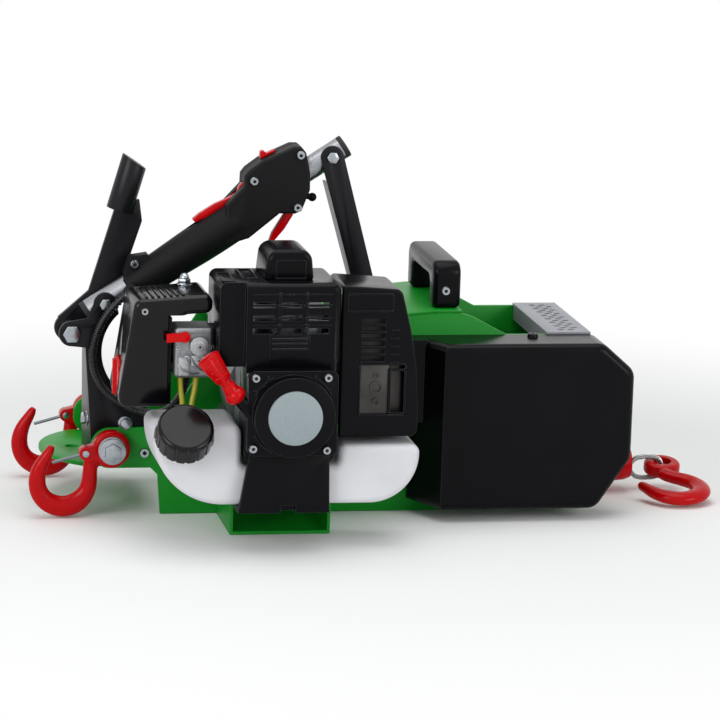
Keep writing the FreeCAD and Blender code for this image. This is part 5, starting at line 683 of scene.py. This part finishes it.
# Carburettor fittings: a turned pump cover on the round boss, a stepped lower casting with its screws,
# and two bent wires that join the levers.
def add_block(shape, low, high, soft=0):
    """Adds a block between two corners, in millimetres, with its edges rounded over."""
    low, high = Vector(low) / 1000, Vector(high) / 1000
    made = bmesh.ops.create_cube(shape, size=1, matrix=Matrix.Translation((low + high) / 2)
                                 @ Matrix.Diagonal((*(high - low), 1)))
    if soft:
        edges = dict.fromkeys(edge for vert in made["verts"] for edge in vert.link_edges)
        bmesh.ops.bevel(shape, geom=list(edges), offset=soft / 1000, affect="EDGES", segments=2,
                        profile=0.5, material=-1, clamp_overlap=True)


shape = bmesh.new()
boss_x, boss_z, casting_face = -191, 187, -189.6
add_round(shape, (boss_x, -195.8, boss_z), (boss_x, -198, boss_z), 8.7, soft=0.6)
add_round(shape, (boss_x, -197.8, boss_z), (boss_x, -199.4, boss_z), 6.4, soft=0.5)
add_block(shape, (-198, -193.5, 168), (-184.5, casting_face, 178), 0.8)
add_block(shape, (-209.5, -192, 158.5), (-199.5, casting_face, 176), 0.8)
for x, z in ((-210, 185), (-180.5, 185), (-180.5, 161)):
    add_socket_screw(shape, (x, -189.4, z), 2.4, 1.8)
add_socket_screw(shape, (boss_x, -199.2, boss_z), 2.6, 1.6)
add_socket_screw(shape, (boss_x, -193.4, 173), 2.4, 1.6)
# The screws' sockets are painted dark as painted shade.
carb_fittings = made_piece("carburettor_fittings", shape, pressed, "frame", socket_shade)
wire_routes = [[(-0.2045, -0.1930, 0.1760), (-0.2000, -0.1955, 0.1790), (-0.1950, -0.1960, 0.1690),
                (-0.1880, -0.1945, 0.1640), (-0.1830, -0.1900, 0.1630)],
               [(-0.2100, -0.1915, 0.1690), (-0.2080, -0.1945, 0.1650), (-0.2010, -0.1950, 0.1620),
                (-0.1960, -0.1925, 0.1600), (-0.1900, -0.1895, 0.1610)]]
wire_lines = [smooth_line(route, 8) for route in wire_routes]
wires = tubes("carburettor_wires", wire_lines, 0.0008, steel, "frame", 2)

# Shroud, plug cover and tank guard: black glass-filled nylon mouldings, screwed over the engine.
# Each has the grain of the belt cover, and its own softening along the edges.
softened("engine_shroud", 0.001, nylon)
softened("plug_cover", 0.003, nylon, 3)
softened("tank_guard", 0.0014, nylon)


# Cooling grille: moulded bars across the shroud's air slots, with round beads where they are stayed,
# a raised lower panel with ribs, and rimmed oblongs on the shroud's top and on the plug cover.
def add_rim(shape, low, high, wide, front, rear):
    """Adds a raised rim round an oblong on a front face; low and high give x and z in millimetres."""
    (left, bottom), (right, top) = low, high
    add_block(shape, (left, front, bottom), (right, rear, bottom + wide), 0.3)
    add_block(shape, (left, front, top - wide), (right, rear, top), 0.3)
    add_block(shape, (left, front, bottom), (left + wide, rear, top), 0.3)
    add_block(shape, (right - wide, front, bottom), (right, rear, top), 0.3)


shape = bmesh.new()
shroud_face = -224.4
for z in (240.5, 230.5, 218.5, 212):
    add_block(shape, (-147, -226.4, z - 0.8), (-74, shroud_face, z + 0.8), 0.6)
for x in (-122.2, -97.2):
    add_block(shape, (x - 1.2, -226, 205), (x + 1.2, shroud_face, 243), 0.5)
for x, z in ((-111.8, 240.5), (-125.5, 230.5), (-98.4, 230.5), (-112.2, 218.5)):
    add_round(shape, (x, -224.6, z), (x, -227.4, z), 2, 1.5, 16, 0.5)
add_block(shape, (-131.5, -226.2, 178), (-93.5, shroud_face, 203.5), 0.9)
for z in (199.5, 195, 190):
    add_block(shape, (-128.5, -227, z - 0.6), (-96.5, -225.8, z + 0.6), 0.4)
rim_wide = 1.6
for low, high in (((-174, -213, 249.2), (-161.5, -168, 250.9)),
                  ((-153, -199, 249.6), (-138, -150, 250.9))):
    left, near, under = low
    right, rear, over = high
    for x in (left, right - rim_wide):
        add_block(shape, (x, near, under), (x + rim_wide, rear, over), 0.4)
    for y in (near, rear - rim_wide):
        add_block(shape, (left, y, under), (right, y + rim_wide, over), 0.4)
add_rim(shape, (-124, 250.2), (-95, 268.5), 1.8, -205, -203.4)
for x in (-126.8, -98.2):
    add_socket_screw(shape, (x, -225, 207.7), 2.6, 1.6)
# The screws' sockets are painted dark as painted shade.
grille = made_piece("shroud_grille", shape, nylon, "frame", socket_shade)

# Recoil starter: a nylon housing screwed to the shroud, with a raised lip round each upper screw
# and four more round its boss.
softened("starter_housing", 0.0016, nylon)
shape = bmesh.new()
lip_wide, lip_back, lip_front = 1.4, -239.6, -241.4
lips = [(0, 0, start, 34, 38.6) for start in (28, 118, 208, 298)]
lips += [(-35, 34.5, 262, 108, 11), (31.5, 34.5, 170, 108, 11)]
for across, up, start, sweep, inside in lips:
    middle_x, middle_z = crank_x + across, crank_z + up
    outside = inside + lip_wide
    angle = math.radians(start)
    corners = []
    for out, y in ((inside, lip_back), (outside, lip_back), (outside, lip_front), (inside, lip_front)):
        corners.append(shape.verts.new(((middle_x + out * math.cos(angle)) / 1000, y / 1000,
                                        (middle_z + out * math.sin(angle)) / 1000)))
    face = shape.faces.new(corners)
    bmesh.ops.spin(shape, geom=corners + list(face.edges) + [face],
                   cent=(middle_x / 1000, 0, middle_z / 1000), axis=(0, -1, 0),
                   angle=math.radians(sweep), steps=12)
ridges = made_piece("starter_lips", shape, nylon, "frame")

# Starter disc: a moulded disc faced with matt silver foil, pressed into the starter's boss.
# The foil is faintly fibrous, drawn at 1.4 mm so that it shows, and it is pale and shines softly.
matt_silver, tree, shader, place = material("matt_silver_foil")
fibres = node(tree, "ShaderNodeTexNoise", {"Vector": place, "Scale": grains(1.43), "Detail": 2})
tone = node(tree, "ShaderNodeMix", {0: fibres.outputs["Fac"], 6: linear("838f93"), 7: linear("98a3a6")},
            data_type="RGBA")
tree.links.new(tone.outputs[2], shader.inputs["Base Color"])
shader.inputs["Metallic"].default_value = 0.2
shader.inputs["Roughness"].default_value = 0.55
softened("starter_disc", 0.0008, matt_silver)

# Pull grip: a red handle moulded in one, a ball, a neck and a tapered block with finger ridges.
# It rests against the starter's edge and is pulled out along its own length.
shape = bmesh.new()
ball = Vector((-163, -235, 149.5))
pull = Vector((-0.60, 0, 0.80))
pull_turn = pull.to_track_quat("Z", "Y").to_matrix().to_4x4()
bmesh.ops.create_uvsphere(shape, u_segments=24, v_segments=14, radius=0.0098,
                          matrix=Matrix.Translation(ball / 1000) @ pull_turn
                          @ Matrix.Diagonal((1, 1, 0.8, 1)))
block_start, block_end = 16, 45
add_round(shape, ball + pull * 5, ball + pull * 13, 7.4, 6, soft=0.8)
add_round(shape, ball + pull * 12, ball + pull * 17, 5.2, 5.6)
add_round(shape, ball + pull * block_start, ball + pull * block_end, 8.6, 12.6, 4, 3)
ridge_half = Vector((5, 0, 3.75))
for along in (24, 31, 38):
    wide = 6.6 + (along - block_start) * 0.098
    for side in (-1, 1):
        middle = ball + pull * along + Vector((0, side * wide, 0))
        add_round(shape, middle - ridge_half, middle + ridge_half, 1, sides=8, soft=0.4)
pull_grip = made_piece("starter_pull_grip", shape, gloss, "starter_grip")
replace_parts(pull_grip, "starter_grip")

# Air filter: a polished black ABS cover over a nylon base, with cooling ribs on its top and a plated
# domed nut behind them that holds it down. The polish leaves soft waves about 22 mm wide.
black_gloss, tree, shader, place = material("polished_black_abs")
waves = node(tree, "ShaderNodeTexNoise", {"Vector": place, "Scale": grains(22.2), "Detail": 1})
tone = node(tree, "ShaderNodeMix", {0: waves.outputs["Fac"], 6: linear("060608"), 7: linear("0e0e11")},
            data_type="RGBA")
bump = node(tree, "ShaderNodeBump", {"Height": waves.outputs["Fac"], "Strength": 0.06,
                                     "Distance": 0.0006})
tree.links.new(tone.outputs[2], shader.inputs["Base Color"])
tree.links.new(bump.outputs[0], shader.inputs["Normal"])
shader.inputs["Roughness"].default_value = 0.16
shader.inputs["Specular IOR Level"].default_value = 0.22
softened("filter_base", 0.0008, nylon)
softened("filter_cover", 0.001, black_gloss)
shape = bmesh.new()
rib_first, rib_pitch, rib_half = -238, 5.6, 1.4
top_left, top_height, top_slope = -240, 228.7, 0.07
for number in range(7):
    x = rib_first + number * rib_pitch
    height = top_height + (x - top_left) * top_slope
    add_block(shape, (x - rib_half, -181, height - 0.5), (x + rib_half, -130, height + 1.5), 0.7)
ribs = made_piece("filter_ribs", shape, black_gloss, "frame")
shape = bmesh.new()
nut_x, nut_y = -196, -126
add_round(shape, (nut_x, nut_y, 231.2), (nut_x, nut_y, 232.6), 7.5, soft=0.4)
add_round(shape, (nut_x, nut_y, 232.4), (nut_x, nut_y, 237), 6, sides=6, soft=0.6)
bmesh.ops.create_uvsphere(shape, u_segments=20, v_segments=12, radius=0.0047,
                          matrix=Matrix.Translation((nut_x / 1000, nut_y / 1000, 0.2375)))
domed_nut = made_piece("domed_nut", shape, zinc, "frame")

# Muffler guard: a moulded nylon shell screwed over the muffler, with the belt cover's grain.
# It has a louvre lip under each slot, short fins beside them, and raised rims round its upper panel,
# its window and the window's right half.
softened("muffler_guard", 0.0009, nylon)
shape = bmesh.new()
guard_face, louvre_first, louvre_pitch = -212.4, 176, 7
for number in range(6):
    z = louvre_first + number * louvre_pitch
    add_block(shape, (-44.5, -214.6, z - 1.6), (-21.5, guard_face, z), 0.5)
for z in (204.5, 197, 189.5, 182, 174.5):
    add_block(shape, (-16.5, -214.2, z - 0.7), (-8.5, guard_face, z + 0.7), 0.4)
add_rim(shape, (-58.5, 221.5), (-14.5, 239), 1.6, -214, guard_face)
add_rim(shape, (-17.5, 125.5), (-1, 168.5), 2, -214.2, -211)
add_rim(shape, (-45.5, 124.5), (-1, 173.5), 1.5, -213.8, guard_face)
louvres = made_piece("guard_louvres", shape, nylon, "frame")

# Muffler: a pressed steel box, with an outlet plate that fills the left half of the guard's window
# and has three short pipes. Heat dulls it and stains it brown and grey in patches of about 25 mm.
heated, tree, shader, place = material("heat_stained_steel")
stain = node(tree, "ShaderNodeTexNoise", {"Vector": place, "Scale": grains(25), "Detail": 4})
tone = node(tree, "ShaderNodeMix", {0: stain.outputs["Fac"], 6: linear("2a2928"), 7: linear("565452")},
            data_type="RGBA")
tree.links.new(tone.outputs[2], shader.inputs["Base Color"])
shader.inputs["Metallic"].default_value = 1
shader.inputs["Roughness"].default_value = 0.48
paint("muffler", heated)
shape = bmesh.new()
add_block(shape, (-44, -212.4, 126), (-17.5, -210.4, 172), 0.6)
pipe_x, pipe_y, pipe_long, pipe_deep = -0.029, -0.2126, 0.002, 0.0018
forward = Matrix.Rotation(math.radians(90), 4, "X")
for z, radius, hollow in ((151, 6, 4.4), (162, 2.6, 1.6), (137.5, 3.4, 2.2)):
    made = bmesh.ops.create_cone(shape, cap_ends=True, segments=24, radius1=radius / 1000,
                                 radius2=radius / 1000, depth=pipe_long,
                                 matrix=Matrix.Translation((pipe_x, pipe_y, z / 1000)) @ forward)
    faces = {face for vert in made["verts"] for face in vert.link_faces}
    mouth = min(faces, key=lambda face: face.calc_center_median().y)
    bmesh.ops.inset_individual(shape, faces=[mouth], thickness=(radius - hollow) / 1000)
    # The pipe bores take the second finish and are painted dark as painted shade.
    mouth.material_index = 1
    sunk = bmesh.ops.extrude_discrete_faces(shape, faces=[mouth])["faces"][0]
    bmesh.ops.translate(shape, vec=(0, pipe_deep, 0), verts=sunk.verts)
outlet_plate = made_piece("outlet_plate", shape, heated, "frame", socket_shade)

# Fuel tank: blow-moulded natural polyethylene with a screwed cap of polished black ABS.
# The tank is milky and lets a little light through, clouded in patches of about 42 mm.
milky, tree, shader, place = material("natural_polyethylene")
cloud = node(tree, "ShaderNodeTexNoise", {"Vector": place, "Scale": grains(41.7), "Detail": 2})
tone = node(tree, "ShaderNodeMix", {0: cloud.outputs["Fac"], 6: linear("cdcdd1"), 7: linear("e0e0e4")},
            data_type="RGBA")
tree.links.new(tone.outputs[2], shader.inputs["Base Color"])
shader.inputs["Roughness"].default_value = 0.38
shader.inputs["Subsurface Weight"].default_value = 0.25
shader.inputs["Subsurface Radius"].default_value = (0.004, 0.004, 0.0036)
paint("fuel_tank", milky)
paint("tank_cap", black_gloss)

# Fuel hoses: extruded flexible tube tinted yellow, pushed on from the tank to the carburettor.
# It is smooth and shines, and fuel clouds it in patches of about 8 mm.
amber, tree, shader, place = material("amber_fuel_tube")
cloud = node(tree, "ShaderNodeTexNoise", {"Vector": place, "Scale": grains(8.33), "Detail": 1})
tone = node(tree, "ShaderNodeMix", {0: cloud.outputs["Fac"], 6: linear("9a9416"), 7: linear("c9c230")},
            data_type="RGBA")
tree.links.new(tone.outputs[2], shader.inputs["Base Color"])
shader.inputs["Roughness"].default_value = 0.3
hose_routes = [[(-0.203, -0.184, 0.118), (-0.203, -0.184, 0.128),
                (-0.2055, -0.178, 0.146), (-0.2055, -0.178, 0.156)],
               [(-0.196, -0.184, 0.118), (-0.196, -0.184, 0.128),
                (-0.191, -0.178, 0.146), (-0.191, -0.178, 0.156)]]
hose_lines = [smooth_line(route, 16) for route in hose_routes]
hoses = tubes("amber_hoses", hose_lines, 0.0025, amber, "frame", 4)
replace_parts(hoses, "fuel_hoses")
